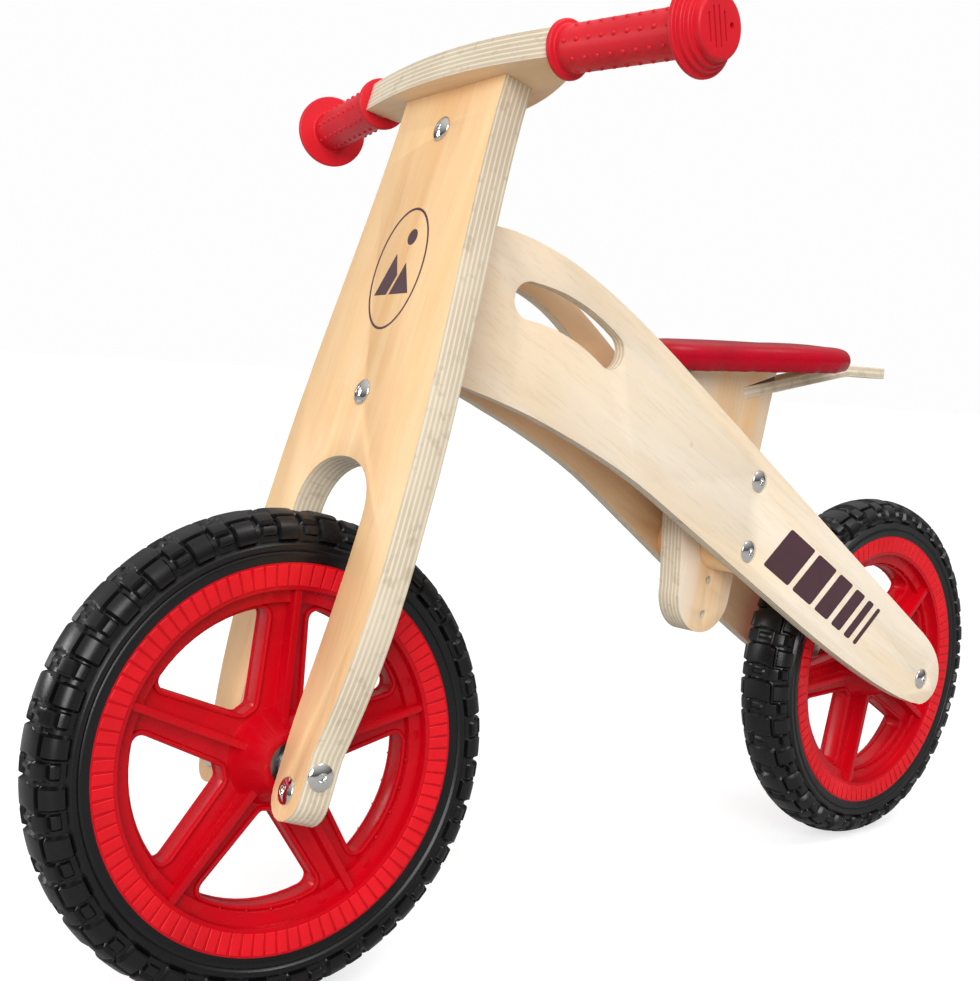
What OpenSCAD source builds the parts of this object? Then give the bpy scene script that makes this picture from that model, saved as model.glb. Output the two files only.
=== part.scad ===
// Balance bike: plywood fork and side panels, 12 inch foam tyres on moulded wheels,
// bent handlebar with safety grips, height-adjustable seat post and padded saddle.
// Millimetres. X points forward, Y to the rider's left, Z up.
// The origin is on the ground, midway between the two axles when the bars are straight.

/* [Wheels] */
// Distance between the two axles with the bars straight
wheelbase = 611.5; // [560:0.5:740]
// Outer radius of the tyres
tyre_radius = 145; // [120:0.5:175]
// Overall width of the tyres
tyre_width = 46; // [42:0.5:58]
// Radius of the rim where the tyre sits
rim_radius = 115; // [98:0.5:118]
// Width of the rim across its outer faces
rim_width = 40.4; // [36:0.1:42]
// Width of the ridged band round each rim face
rim_band = 16; // [12:0.5:22]
// Height of the tongue that keys the rim into the tyre
rim_tongue = 4; // [2:0.5:6]
// Number of spokes
spoke_count = 5; // [4:1:6]
// Width of a spoke's web near the hub
spoke_root = 30; // [24:0.5:34]
// Width of a spoke's web near the band
spoke_tip = 25; // [18:0.5:32]
// Thickness of the spoke webs
web_thickness = 14; // [10:0.5:18]
// Depth of the raised centre ribs over both faces
rib_depth = 34; // [28:0.5:36]
// Half width of the hub, measured along the axle
hub_half = 30; // [26:0.5:40]
// Radius of the hub at its end faces
hub_end_radius = 17.5; // [15:0.5:22]
// Radius of the hub's cone at the spoke webs
hub_root_radius = 29; // [24:0.5:34]
// Angle of the front wheel's first spoke above straight ahead
front_spoke_angle = 22.9; // [0:0.1:72]
// Angle of the rear wheel's first spoke above straight ahead
rear_spoke_angle = 67.4; // [0:0.1:72]

/* [Axles and bearings] */
// Radius of the steel axle sleeves
axle_radius = 5; // [4:0.1:6]
// Outer radius of the wheel bearings
bearing_radius = 13; // [11:0.1:14]
// Width of a wheel bearing
bearing_width = 8; // [6:0.5:10]
// Radial clearance of a running fit
running_fit = 0.05; // [0.02:0.01:0.1]
// Gap between faces that turn past each other
face_gap = 0.3; // [0.2:0.1:0.6]
// Length of a front axle spacer
front_spacer = 4; // [3:0.5:8]
// Length of a rear axle spacer
rear_spacer = 23; // [18:0.5:30]

/* [Steering] */
// Lean of the steering axis back from upright
head_tilt = 16.8; // [10:0.1:22]
// Distance from the steering axis forward to the front axle
fork_offset = 26; // [25:0.5:34]
// Turn of the bars at rest, positive to the left
rest_turn = -8.1; // [-20:0.1:20]
// Height of the head block along the steering axis
head_height = 103.5; // [80:0.5:130]
// Radius of the head block's barrel
barrel_radius = 12; // [11:0.5:13]
// Radius of the steering pin
pin_radius = 4; // [3:0.1:4.5]
// Outer radius of the steering bushes
bush_radius = 6; // [5.5:0.1:7]
// Thickness of the bushes' flanges
bush_flange = 3; // [2:0.5:5]
// Depth of a bush inside the barrel
bush_depth = 20; // [12:0.5:28]
// Grip of the steering pin in each fork block
pin_grip = 18; // [12:0.5:24]
// Radius of the fork blocks' round backs
block_radius = 14; // [12.5:0.5:15]

/* [Fork plate] */
// Thickness of the fork's plywood
plate_thickness = 20; // [18:0.5:22]
// Distance of the fork's front face ahead of the front axle
plate_front = 9; // [8:0.5:11]
// Half width of the fork at its top
plate_top_half = 55.5; // [50:0.5:62]
// Half width of the fork at its shoulders
shoulder_half = 79.5; // [74:0.5:86]
// Gap between the tyre and the top of the wheel arch
arch_gap = 36.5; // [30:0.5:45]
// Gap between the tyre and the side of the wheel arch
arch_side_gap = 19; // [14:0.5:22]
// Width of a fork leg at the axle
leg_width = 31; // [28:0.5:34]
// Distance of the leg bolts below the axle
leg_bolt_drop = 12.9; // [11:0.1:14]
// Distance of the lower fork bolt above the wheel arch
lower_bolt_rise = 40.5; // [36:0.5:50]
// Distance of the upper fork bolt above the head block
upper_bolt_rise = 43.5; // [38:0.5:52]
// Height of the fork's top above the upper fork bolt
plate_top_rise = 27; // [24:0.5:36]

/* [Handlebar] */
// Thickness of the handlebar board
bar_thickness = 19; // [19:0.5:26]
// Half length of the flat handlebar board
bar_board_half = 101; // [90:0.5:120]
// Reach of the handlebar's front edge ahead of the front axle
bar_front = 22.5; // [18:0.5:28]
// Reach of the handlebar's back edge behind the front axle
bar_back = 31; // [28:0.5:36]
// Width of the board where it meets a grip
bar_end_width = 21; // [19:0.1:24]
// Sweep of the grips back from straight across
grip_sweep = 8.4; // [0:0.1:20]
// Distance of the grips' inner ends ahead of the front axle
grip_ahead = 2.5; // [-2:0.5:6]
// Length of a grip from its inner flange to its end cap
grip_length = 111; // [95:0.5:130]
// Radius of a grip's tube
grip_radius = 13.7; // [13:0.1:16]
// Radius of the round bar end inside a grip
bar_end_radius = 9.4; // [8:0.1:9.4]
// Radius of a grip's inner flange
grip_flange_radius = 17.3; // [16.5:0.1:19]
// Radius of a grip's largest safety ring
grip_ring_radius = 25.5; // [23:0.5:28]

/* [Side panels] */
// Thickness of the side panels
panel_thickness = 9; // [8:0.5:11]
// Half width over the panels at their front edges
panel_front_half = 11.3; // [11:0.1:14]
// Half width over the panels where they bend outwards less
panel_bend_half = 23.3; // [22:0.1:28]
// Distance of the panels' front edges behind the steering axis
panel_start = 12.5; // [12:0.1:14]
// Distance of the bend behind the steering axis
panel_bend = 79; // [70:0.5:90]
// Half thickness of the head block between the panels' front ends
head_web_half = 7.5; // [6:0.1:8]
// Radius of the carrying handle's curved centre line
handle_arc = 151; // [120:1:200]
// Half width of the carrying handle hole
handle_half = 12.5; // [10:0.1:13]
// Half of the angle that the carrying handle hole spans
handle_span = 14.4; // [10:0.1:15]
// Distance of the handle's arc centre behind the steering axis
handle_back = 79.6; // [70:0.1:90]
// Depth of the handle hole's centre line below the panels' front top corner
handle_drop = 32.5; // [30:0.1:40]

/* [Seat] */
// Thickness of the seat post board
post_thickness = 20; // [18:0.5:22]
// Lean of the seat post back from upright
post_lean = 8; // [0:0.1:12]
// Half width of the seat post at its round foot
post_foot_half = 30; // [28:0.5:34]
// Reach of the seat post's top ahead of its row of holes
post_top_front = 66; // [56:0.5:72]
// Reach of the seat post's top behind its row of holes
post_top_rear = 42; // [36:0.5:48]
// Pitch of the height holes
hole_pitch = 26.2; // [24:0.1:30]
// Radius of the height holes
hole_radius = 3.25; // [3.1:0.05:3.5]
// Radius of the round wooden spacers
spacer_radius = 17.5; // [15:0.5:20]
// Height of the saddle's underside above the seat clamp
saddle_rise = 108.8; // [100:0.5:130]
// Gap between the rear tyre and the seat clamp
seat_gap = 75.6; // [74:0.1:110]
// Height of the seat clamp above the line from the rear axle to the head
seat_offset = 14.4; // [5:0.1:20]
// Tilt of the saddle, nose down
saddle_tilt = 2.5; // [0:0.1:5]
// Length of the saddle
saddle_length = 214; // [200:1:224]
// Half width of the saddle at its widest
saddle_half = 56; // [50:0.5:65]
// Half width of the saddle at its nose
nose_half = 31; // [26:0.5:40]
// Thickness of the saddle's plywood base
base_thickness = 9; // [6:0.5:12]
// Thickness of the saddle's pad over its base
pad_thickness = 13; // [10:0.5:26]
// Width of the tail board
tail_width = 22; // [20:0.5:30]
// Thickness of the tail board
tail_thickness = 9; // [8:0.5:10]

/* [Fasteners] */
// Radius of the threaded shanks
bolt_radius = 3; // [2.5:0.1:3]
// Radius of the domed bolt heads
head_radius = 8; // [7:0.1:8.5]
// Height of the domed bolt heads
head_rise = 3.4; // [2.5:0.1:4]
// Radius of the barrel nuts
barrel_nut_radius = 5; // [4:0.1:5]

/* [Hidden] */

round_fn = 96;      // facets of round shapes
curve_steps = 10;   // steps along each outline curve
reach = 900;        // longer than the bike, for cutting tools

// Heights along the steering axis, measured from the front axle
arch_top = tyre_radius + arch_gap;
lower_bolt = arch_top + lower_bolt_rise;
head_low = lower_bolt + 25;
head_high = head_low + head_height;
upper_bolt = head_high + upper_bolt_rise;
plate_top = upper_bolt + plate_top_rise;
lower_block_low = lower_bolt - 16;
lower_block_high = head_low - bush_flange - face_gap;
upper_block_low = head_high + bush_flange + face_gap;
plate_face = fork_offset + plate_front;
plate_rear = plate_face - plate_thickness;

// Foot of the square from the front axle onto the steering axis
axis_x = wheelbase / 2 - fork_offset * cos(head_tilt);
axis_z = tyre_radius - fork_offset * sin(head_tilt);
rear_x = -wheelbase / 2;

// Half widths across the front and rear axles
leg_inner = hub_half + front_spacer;
leg_outer = leg_inner + leg_width;
leg_middle = (leg_inner + leg_outer) / 2;
arch_half = tyre_width / 2 + arch_side_gap;
rear_inner = hub_half + rear_spacer;
rear_half = rear_inner + panel_thickness;
axle_depth = behind(rear_x, tyre_radius);
head_web_back = 41;

// Seat clamp: the point midway between the two seat bolts
head_mid = head_point(panel_start, (head_low + head_high) / 2);
beam_slope = (head_mid[1] - tyre_radius) / (head_mid[0] - rear_x);
seat_x = rear_x + tyre_radius + seat_gap;
seat_z = tyre_radius + beam_slope * (seat_x - rear_x) + seat_offset;
seat_bolt_heights = [-hole_pitch, hole_pitch];
spare_hole_heights = [-2 * hole_pitch, -3 * hole_pitch];
foot_height = -2 * hole_pitch - 10;
saddle_x = seat_x - 14;
saddle_z = seat_z + saddle_rise;

// Tail board: a straight rising run, a bend and a level end
tail_slope = 10;
tail_start = [seat_x - 18, saddle_z - 18.6];
tail_run = 127;
tail_bend = 110;
tail_end = 46.7;

// Grip: inner flange, three rings and an end cap
grip_flange = 3.5;
ring_depth = 3.2;
cap_depth = 5.5;
ring_stack = grip_length - cap_depth;
ring_start = ring_stack - 3 * ring_depth;
bar_end_length = ring_start + ring_depth;

// Threads and sockets
shank = bolt_radius;
clearance = hole_radius - bolt_radius;
socket_radius = 2.6;
socket_depth = 2.4;
spot_radius = head_radius + 0.4;
nut_barrel = bolt_radius + 1.5;
nut_reach = panel_thickness + 4;

// ---------- helpers ----------

// Point on a cubic curve through a and d with handles b and c
function curve_point(a, b, c, d, t) =
    pow(1 - t, 3) * a + 3 * t * pow(1 - t, 2) * b + 3 * t * t * (1 - t) * c + t * t * t * d;

// Points along that curve, without its first one
function curve(a, b, c, d) =
    [for (i = [1:curve_steps]) curve_point(a, b, c, d, i / curve_steps)];

// Points round an arc, from angle a0 to a1
function arc(centre, radius, a0, a1) =
    [for (i = [0:curve_steps]) centre + radius * [cos(a0 + (a1 - a0) * i / curve_steps),
                                                   sin(a0 + (a1 - a0) * i / curve_steps)]];

function between(a, b, t) = a + (b - a) * t;
function reversed(list) = [for (i = [len(list) - 1:-1:0]) list[i]];
function flipped(list) = [for (p = reversed(list)) [-p[0], p[1]]];

// Side-view place of a point given by its distance behind the steering axis and its height along it
function head_point(back, height) =
    [axis_x - height * sin(head_tilt) - back * cos(head_tilt),
     axis_z + height * cos(head_tilt) - back * sin(head_tilt)];

// Distance behind the steering axis of a side-view point
function behind(x, z) = (axis_x - x) * cos(head_tilt) - (z - axis_z) * sin(head_tilt);

// Half width over the panels at a distance behind the steering axis
function panel_half(back) = back < panel_bend
    ? between(panel_front_half, panel_bend_half, (back - panel_start) / (panel_bend - panel_start))
    : between(panel_bend_half, rear_half, (back - panel_bend) / (axle_depth - panel_bend));
function panel_half_at(x, z) = panel_half(behind(x, z));

// Side-view place of a point in the leaning seat post's own frame
function seat_point(forward, up) =
    [seat_x + forward * cos(post_lean) - up * sin(post_lean),
     seat_z + forward * sin(post_lean) + up * cos(post_lean)];

// Frame of the steering axis: X ahead, Z up along the axis
module head_frame() {
    translate([axis_x, 0, axis_z]) rotate([0, -head_tilt, 0]) children();
}

// The same frame, turned with the bars
module front_end() {
    head_frame() rotate([0, 0, rest_turn]) children();
}

// Side-view outline, extruded across the bike between two Y values
module across(y0, y1) {
    translate([0, y1, 0]) rotate([90, 0, 0]) linear_extrude(y1 - y0) children();
}

// Tube or rod along Y, centred on the given place
module rod_y(radius, length) {
    rotate([90, 0, 0]) cylinder(r = radius, h = length, center = true, $fn = round_fn);
}

module both_sides() {
    children();
    mirror([0, 1, 0]) children();
}

// Domed flange head with a hex socket, seated on Z = 0
module dome_head() {
    edge = 1;
    dome = head_rise - edge;
    ball = (head_radius * head_radius + dome * dome) / (2 * dome);
    difference() {
        intersection() {
            cylinder(r = head_radius, h = head_rise, $fn = round_fn);
            translate([0, 0, head_rise - ball]) sphere(ball, $fn = round_fn);
        }
        translate([0, 0, head_rise - socket_depth]) cylinder(r = socket_radius, h = head_rise, $fn = 6);
    }
}

// Domed bolt: its head on Z = 0, its shank below
module bolt(length) {
    dome_head();
    translate([0, 0, -length]) cylinder(r = shank, h = length, $fn = round_fn);
}

// Domed nut: its head on Z = 0, its threaded barrel below
module dome_nut(length) {
    difference() {
        union() {
            dome_head();
            translate([0, 0, -length]) cylinder(r = nut_barrel, h = length, $fn = round_fn);
        }
        translate([0, 0, -length]) cylinder(r = shank, h = length, $fn = round_fn);
    }
}

// ---------- side panels and head ----------

// Outline of a side panel in side view
function panel_outline() = let (
    top_front = head_point(panel_start, head_high),
    low_front = head_point(panel_start, head_low - 0.5),
    top_mid = [seat_x, seat_z] + [72.3, 99.8],
    low_mid = [seat_x, seat_z] + [105.5, 15.4],
    low_rear = [seat_x, seat_z] + [-47.3, -76.5],
    top_rear = [rear_x, tyre_radius] + [6, 42],
    tip = [rear_x, tyre_radius] + [-24.3, 2],
    heel = [rear_x, tyre_radius] + [0, -21.5]
) concat(
    [top_front],
    curve(top_front, top_front + [-55, -3], top_mid + [51, 34.8], top_mid),
    curve(top_rear, top_rear + [-16.6, -11.3], tip + [0, 16], tip),
    curve(tip, tip + [0, -14], heel + [-13.7, 0], heel),
    curve(heel, heel + [38, 6], low_rear + [-50, -30], low_rear),
    [low_mid],
    curve(low_mid, low_mid + [47, 28.3], low_front + [-45, -10], low_front)
);

// Plan of the space outside one panel's inner face, in the head frame
module outside_of_inner_face() {
    far = 2 * axle_depth;
    skew = panel_thickness * 1.005;
    polygon([
        [-panel_start + 40, head_web_half],
        [-panel_start, head_web_half],
        [-panel_start, panel_half(panel_start) - skew],
        [-panel_bend, panel_half(panel_bend) - skew],
        [-far, panel_half(far) - skew],
        [-far, reach],
        [-panel_start + 40, reach]
    ]);
}

// Plan of one panel's board, in the head frame
module panel_strip() {
    far = 2 * axle_depth;
    skew = panel_thickness * 1.005;
    polygon([
        [-panel_start, panel_half(panel_start)],
        [-panel_bend, panel_half(panel_bend)],
        [-far, panel_half(far)],
        [-far, panel_half(far) - skew],
        [-panel_bend, panel_half(panel_bend) - skew],
        [-panel_start, panel_half(panel_start) - skew]
    ]);
}

// Curved slot of the carrying handle, in the head frame's side view
module handle_slot() {
    middle = 90 + 5;
    centre = [-handle_back, head_high - handle_drop - handle_arc];
    ends = [for (side = [-1, 1]) middle + side * handle_span];
    wedge = [for (a = ends) centre + 1.2 * (handle_arc + handle_half) * [cos(a), sin(a)]];
    intersection() {
        difference() {
            translate(centre) circle(handle_arc + handle_half, $fn = 2 * round_fn);
            translate(centre) circle(handle_arc - handle_half, $fn = 2 * round_fn);
        }
        polygon([centre, wedge[0], wedge[1]]);
    }
    for (a = ends)
        translate(centre + handle_arc * [cos(a), sin(a)]) circle(handle_half, $fn = round_fn);
}

module seat_bolt_places() {
    for (up = seat_bolt_heights) {
        p = seat_point(0, up);
        translate([p[0], 0, p[1]]) children();
    }
}

// Left panel; bore is the radius of its seat bolt holes
module panel(bore) {
    difference() {
        intersection() {
            across(0, reach) polygon(panel_outline());
            head_frame() translate([0, 0, -reach]) linear_extrude(2 * reach) panel_strip();
        }
        head_frame() cube([2 * reach, 2 * head_web_half, 2 * reach], center = true);
        head_frame() across(0, reach) handle_slot();
        seat_bolt_places() rod_y(bore, reach);
        translate([rear_x, 0, tyre_radius]) rod_y(shank + clearance, reach);
        for (up = seat_bolt_heights) spot_face(seat_point(0, up));
        spot_face([rear_x, tyre_radius]);
    }
}

// Height of a bolt head's seat on a panel
function seat_of(p) = panel_half_at(p[0], p[1]) - 0.7;

// Shallow flat for a bolt head on the outside of a panel
module spot_face(p) {
    translate([p[0], seat_of(p), p[1]]) rotate([-90, 0, 0])
        cylinder(r = spot_radius, h = 20, $fn = round_fn);
}

module left_side_panel() {
    color("Wheat") panel(shank + clearance);
}

module right_side_panel() {
    color("Wheat") mirror([0, 1, 0]) panel(nut_barrel + clearance / 2);
}

module head_block() {
    web_low = head_low + 14;
    color("BurlyWood") head_frame() difference() {
        union() {
            translate([0, 0, head_low]) cylinder(r = barrel_radius, h = head_height, $fn = round_fn);
            translate([-head_web_back, -head_web_half, web_low])
                cube([head_web_back, 2 * head_web_half, head_high - web_low]);
        }
        translate([0, 0, head_low]) cylinder(r = pin_radius + 0.6, h = head_height, $fn = round_fn);
        translate([0, 0, head_low]) cylinder(r = bush_radius, h = bush_depth, $fn = round_fn);
        translate([0, 0, head_high - bush_depth])
            cylinder(r = bush_radius, h = bush_depth, $fn = round_fn);
    }
}

// Flanged bush, its flange's inner face on Z = 0 and its sleeve above
module bush() {
    difference() {
        union() {
            translate([0, 0, -bush_flange]) cylinder(r = barrel_radius - 1, h = bush_flange, $fn = round_fn);
            cylinder(r = bush_radius, h = bush_depth, $fn = round_fn);
        }
        translate([0, 0, -bush_flange])
            cylinder(r = pin_radius + running_fit, h = bush_flange + bush_depth, $fn = round_fn);
    }
}

module lower_bush() {
    color("WhiteSmoke") head_frame() translate([0, 0, head_low]) bush();
}

module upper_bush() {
    color("WhiteSmoke") head_frame() translate([0, 0, head_high]) mirror([0, 0, 1]) bush();
}

// ---------- seat ----------

// Side view of the tail board's middle line, as points with their directions
function tail_line() = let (
    back = [-cos(tail_slope), sin(tail_slope)],
    bend_start = tail_start + tail_run * back,
    centre = bend_start + tail_bend * [-sin(tail_slope), -cos(tail_slope)]
) concat(
    [[tail_start, tail_slope]],
    [for (i = [0:curve_steps]) let (a = tail_slope * (1 - i / curve_steps))
        [centre + tail_bend * [sin(a), cos(a)], a]],
    [[centre + [-tail_end, tail_bend], 0]]
);

// The tail board's side outline, grown by extra above and below
function tail_outline(extra) = let (half = tail_thickness / 2 + extra) concat(
    [for (p = tail_line()) p[0] + half * [sin(p[1]), cos(p[1])]],
    [for (p = reversed(tail_line())) p[0] - half * [sin(p[1]), cos(p[1])]]
);

// Top face of the seat post's plane, as a cutting block above it
module above_saddle_plane() {
    translate([saddle_x, 0, saddle_z]) rotate([0, saddle_tilt, 0])
        translate([-reach / 2, -reach / 2, 0]) cube([reach, reach, reach]);
}

// Corners of the tapered slot over the tail board
slot_front = tail_start + [0.5, tail_thickness / 2];
slot_rise = 12.5;
slot_run = 46;

module seat_post() {
    top = saddle_rise + 20;
    foot_ahead = 2;
    color("BurlyWood") difference() {
        translate([seat_x, 0, seat_z]) rotate([0, -post_lean, 0]) across(-post_thickness / 2, post_thickness / 2) {
            translate([foot_ahead, foot_height]) circle(post_foot_half, $fn = round_fn);
            polygon([
                [foot_ahead - post_foot_half, foot_height], [foot_ahead + post_foot_half, foot_height],
                [post_top_front, top], [-post_top_rear, top]
            ]);
        }
        above_saddle_plane();
        across(-post_thickness, post_thickness) union() {
            polygon(tail_outline(0));
            polygon([slot_front, slot_front + [-slot_run, slot_rise], slot_front + [-2 * slot_run, slot_rise],
                     slot_front + [-2 * slot_run, -tail_thickness / 2]]);
        }
        for (up = concat(seat_bolt_heights, spare_hole_heights)) {
            p = seat_point(0, up);
            translate([p[0], 0, p[1]]) rod_y(hole_radius, reach);
        }
    }
}

module tail_board() {
    corner = 6;
    color("Wheat") intersection() {
        across(-tail_width / 2, tail_width / 2) polygon(tail_outline(0));
        translate([tail_start[0] - tail_run - tail_bend - tail_end, 0, 0]) hull_free_end(corner);
    }
}

// Plan of the tail board with its two rear corners rounded
module hull_free_end(corner) {
    rear = tail_line()[len(tail_line()) - 1][0][0] - (tail_start[0] - tail_run - tail_bend - tail_end);
    linear_extrude(reach) polygon(concat(
        arc([rear + corner, tail_width / 2 - corner], corner, 90, 180),
        arc([rear + corner, -tail_width / 2 + corner], corner, 180, 270),
        [[reach, -tail_width / 2], [reach, tail_width / 2]]
    ));
}

module tail_wedge() {
    thin = 6;
    half = post_thickness / 2 - 0.5;
    slot_tangent = slot_rise / slot_run;
    surface_tangent = tan(tail_slope);
    low = function(run) slot_front + [-run, run * surface_tangent];
    high = function(run) slot_front + [-run, run * slot_tangent];
    run = 38;
    color("SaddleBrown") across(-half, half) polygon([low(thin), high(thin), high(run), low(run)]);
}

module seat_spacers() {
    color("Tan") both_sides() difference() {
        seat_bolt_places() translate([0, post_thickness / 2 + 30, 0]) rod_y(spacer_radius, 60);
        head_frame() translate([0, 0, -reach]) linear_extrude(2 * reach) outside_of_inner_face();
        seat_bolt_places() rod_y(hole_radius, reach);
    }
}

module seat_bolts() {
    color("Silver") for (up = seat_bolt_heights) {
        p = seat_point(0, up);
        translate([p[0], seat_of(p), p[1]]) rotate([-90, 0, 0]) bolt(2 * seat_of(p) - 3);
    }
}

module seat_nuts() {
    color("Silver") for (up = seat_bolt_heights) {
        p = seat_point(0, up);
        translate([p[0], -seat_of(p), p[1]]) rotate([90, 0, 0]) difference() {
            dome_nut(nut_reach - 5);
            translate([0, 0, -nut_reach]) cylinder(r = shank, h = nut_reach - 2.9, $fn = round_fn);
        }
    }
}

// Plan outline of the saddle, pulled in by inset, with X forward from the saddle's middle
function saddle_plan(inset) = let (
    rear = -saddle_length / 2 + inset,
    nose = saddle_length / 2 - inset,
    wide = saddle_half - inset,
    narrow = nose_half - inset,
    half = concat(
        curve([rear, 0], [rear, 0.68 * wide], [rear + 20, wide], [rear + 56, wide]),
        curve([rear + 56, wide], [rear + 100, wide], [nose - 100, narrow + 3], [nose - 45, narrow]),
        curve([nose - 45, narrow], [nose - 16, narrow - 2], [nose, 0.6 * narrow], [nose, 0])
    )
) concat(half, [for (p = reversed(half)) [p[0], -p[1]]]);

module saddle_frame() {
    translate([saddle_x, 0, saddle_z]) rotate([0, saddle_tilt, 0]) children();
}

module saddle_base() {
    color("BurlyWood") saddle_frame() difference() {
        linear_extrude(base_thickness) polygon(saddle_plan(6));
        for (x = saddle_screw_places) translate([x, 0, 0]) screw_hole();
    }
}

saddle_screw_places = [-34, 6, 40];
screw_radius = 2;
screw_head = 4.2;

// Countersunk hole down through the saddle's base
module screw_hole() {
    cylinder(r = screw_radius, h = base_thickness, $fn = round_fn);
    translate([0, 0, base_thickness - screw_head + screw_radius])
        cylinder(r1 = screw_radius, r2 = screw_head, h = screw_head - screw_radius, $fn = round_fn);
}

module saddle_screws() {
    color("Silver") saddle_frame() for (x = saddle_screw_places) translate([x, 0, 0]) screw_hole();
}

module saddle_pad() {
    lip = 1;
    crown = 5;
    color("Crimson") saddle_frame() difference() {
        union() {
            translate([0, 0, lip]) linear_extrude(base_thickness + pad_thickness - crown - lip)
                polygon(saddle_plan(0));
            translate([0, 0, base_thickness + pad_thickness - crown]) linear_extrude(crown)
                polygon(saddle_plan(9));
        }
        linear_extrude(base_thickness) polygon(saddle_plan(6));
    }
}

// ---------- fork ----------

// Right half of the fork plate's outline: across, then height above the axle
function fork_half() = let (
    shoulder = tyre_radius + 5,
    top = [plate_top_half, plate_top],
    wide = [shoulder_half, shoulder],
    foot = leg_outer,
    foot_drop = 14.5,
    foot_radius = leg_width / 2,
    arch_side = arch_top - 35.5
) concat(
    [top],
    curve(top, top + [-1.5, -72], wide + [-1.5, 100], wide),
    curve(wide, wide + [2, -45], [shoulder_half + 1, 62], [foot, 12]),
    arc([leg_middle, -foot_drop], foot_radius, 0, -180),
    [[leg_inner, foot_drop]],
    curve([leg_inner, foot_drop], [leg_inner, 45], [arch_half, 80], [arch_half, arch_side]),
    curve([arch_half, arch_side], [arch_half, arch_side + 22], [26, arch_top], [0, arch_top])
);

// Place for a part that goes in from the fork's front face
module from_front(y, height) {
    translate([plate_face, y, height]) rotate([0, 90, 0]) children();
}

module fork_plate() {
    color("NavajoWhite") front_end() difference() {
        translate([plate_face, 0, 0]) rotate([90, 0, -90]) linear_extrude(plate_thickness)
            polygon(concat(fork_half(), flipped(fork_half())));
        for (height = [lower_bolt, upper_bolt])
            from_front(0, height) cylinder(r = hole_radius, h = 100, center = true, $fn = round_fn);
        for (side = [-1, 1]) {
            from_front(side * leg_middle, -leg_bolt_drop)
                cylinder(r = nut_barrel + clearance / 2, h = 100, center = true, $fn = round_fn);
            translate([fork_offset, side * leg_middle, 0]) rod_y(hole_radius, 2 * leg_width);
            translate([dowel_x, side * dowel_y, plate_top - dowel_grip])
                cylinder(r = dowel_radius, h = dowel_grip, $fn = round_fn);
        }
    }
}

dowel_radius = 4;
dowel_grip = 20;
dowel_sink = 12;
dowel_y = 36;
dowel_x = plate_face - plate_thickness / 2;
bar_screw_y = 8;
bar_screw_x = 6;
bar_screw_depth = 17;
bar_screw_radius = 2.5;
bar_screw_head = 5;
nut_x = 1;

// Fork block between two heights: round behind, flat against the plate
module block(low, high) {
    translate([0, 0, low]) cylinder(r = block_radius, h = high - low, $fn = round_fn);
    translate([0, -block_radius, low]) cube([plate_rear, 2 * block_radius, high - low]);
}

module lower_fork_block() {
    color("BurlyWood") front_end() difference() {
        block(lower_block_low, lower_block_high);
        translate([0, 0, lower_block_high - pin_grip + 3]) cylinder(r = pin_radius, h = pin_grip, $fn = round_fn);
        block_bores(lower_bolt);
    }
}

module upper_fork_block() {
    color("BurlyWood") front_end() difference() {
        block(upper_block_low, plate_top);
        translate([0, 0, upper_block_low]) cylinder(r = pin_radius, h = pin_grip, $fn = round_fn);
        block_bores(upper_bolt);
        for (side = [-1, 1]) translate([bar_screw_x, side * bar_screw_y, plate_top - bar_screw_depth])
            cylinder(r = bar_screw_radius, h = bar_screw_depth, $fn = round_fn);
    }
}

// Bolt hole and barrel nut hole of a fork block
module block_bores(height) {
    translate([-8, 0, height]) rotate([0, 90, 0]) cylinder(r = hole_radius, h = 60, $fn = round_fn);
    translate([nut_x, 0, height]) rod_y(barrel_nut_radius, 3 * block_radius);
}

module fork_bolts() {
    color("Silver") front_end() for (height = [lower_bolt, upper_bolt])
        from_front(0, height) bolt(plate_face + 7);
}

module fork_barrel_nuts() {
    color("Silver") front_end() for (height = [lower_bolt, upper_bolt]) difference() {
        translate([nut_x, 0, height]) rod_y(barrel_nut_radius, 20);
        translate([-20, 0, height]) rotate([0, 90, 0]) cylinder(r = shank, h = 60, $fn = round_fn);
    }
}

module steering_pin() {
    low = lower_block_high - pin_grip + 3;
    high = upper_block_low + pin_grip;
    color("Silver") front_end() translate([0, 0, low]) cylinder(r = pin_radius, h = high - low, $fn = round_fn);
}

module leg_bolts() {
    color("Silver") front_end() for (side = [-1, 1])
        from_front(side * leg_middle, -leg_bolt_drop) bolt(plate_thickness - 1);
}

module leg_nuts() {
    color("Silver") front_end() for (side = [-1, 1])
        translate([plate_rear, side * leg_middle, -leg_bolt_drop]) rotate([0, -90, 0])
            dome_nut(plate_thickness - 1);
}

module front_axle_sleeve() {
    color("Silver") front_end() translate([fork_offset, 0, 0]) difference() {
        rod_y(axle_radius, 2 * leg_inner);
        rod_y(shank, 4 * leg_inner);
    }
}

module front_axle_bolts() {
    color("Silver") front_end() both_sides()
        translate([fork_offset, leg_outer, 0]) rotate([-90, 0, 0]) bolt(leg_width + 16);
}

// Ring round an axle sleeve, from y0 outwards to y1
module axle_ring(radius, bore, y0, y1) {
    translate([0, y1, 0]) rotate([90, 0, 0]) difference() {
        cylinder(r = radius, h = y1 - y0, $fn = round_fn);
        cylinder(r = bore, h = y1 - y0, $fn = round_fn);
    }
}

module front_axle_spacers() {
    color("DimGray") front_end() translate([fork_offset, 0, 0]) both_sides()
        axle_ring(8.5, axle_radius, hub_half + face_gap, leg_inner);
}

// ---------- handlebar ----------

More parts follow.
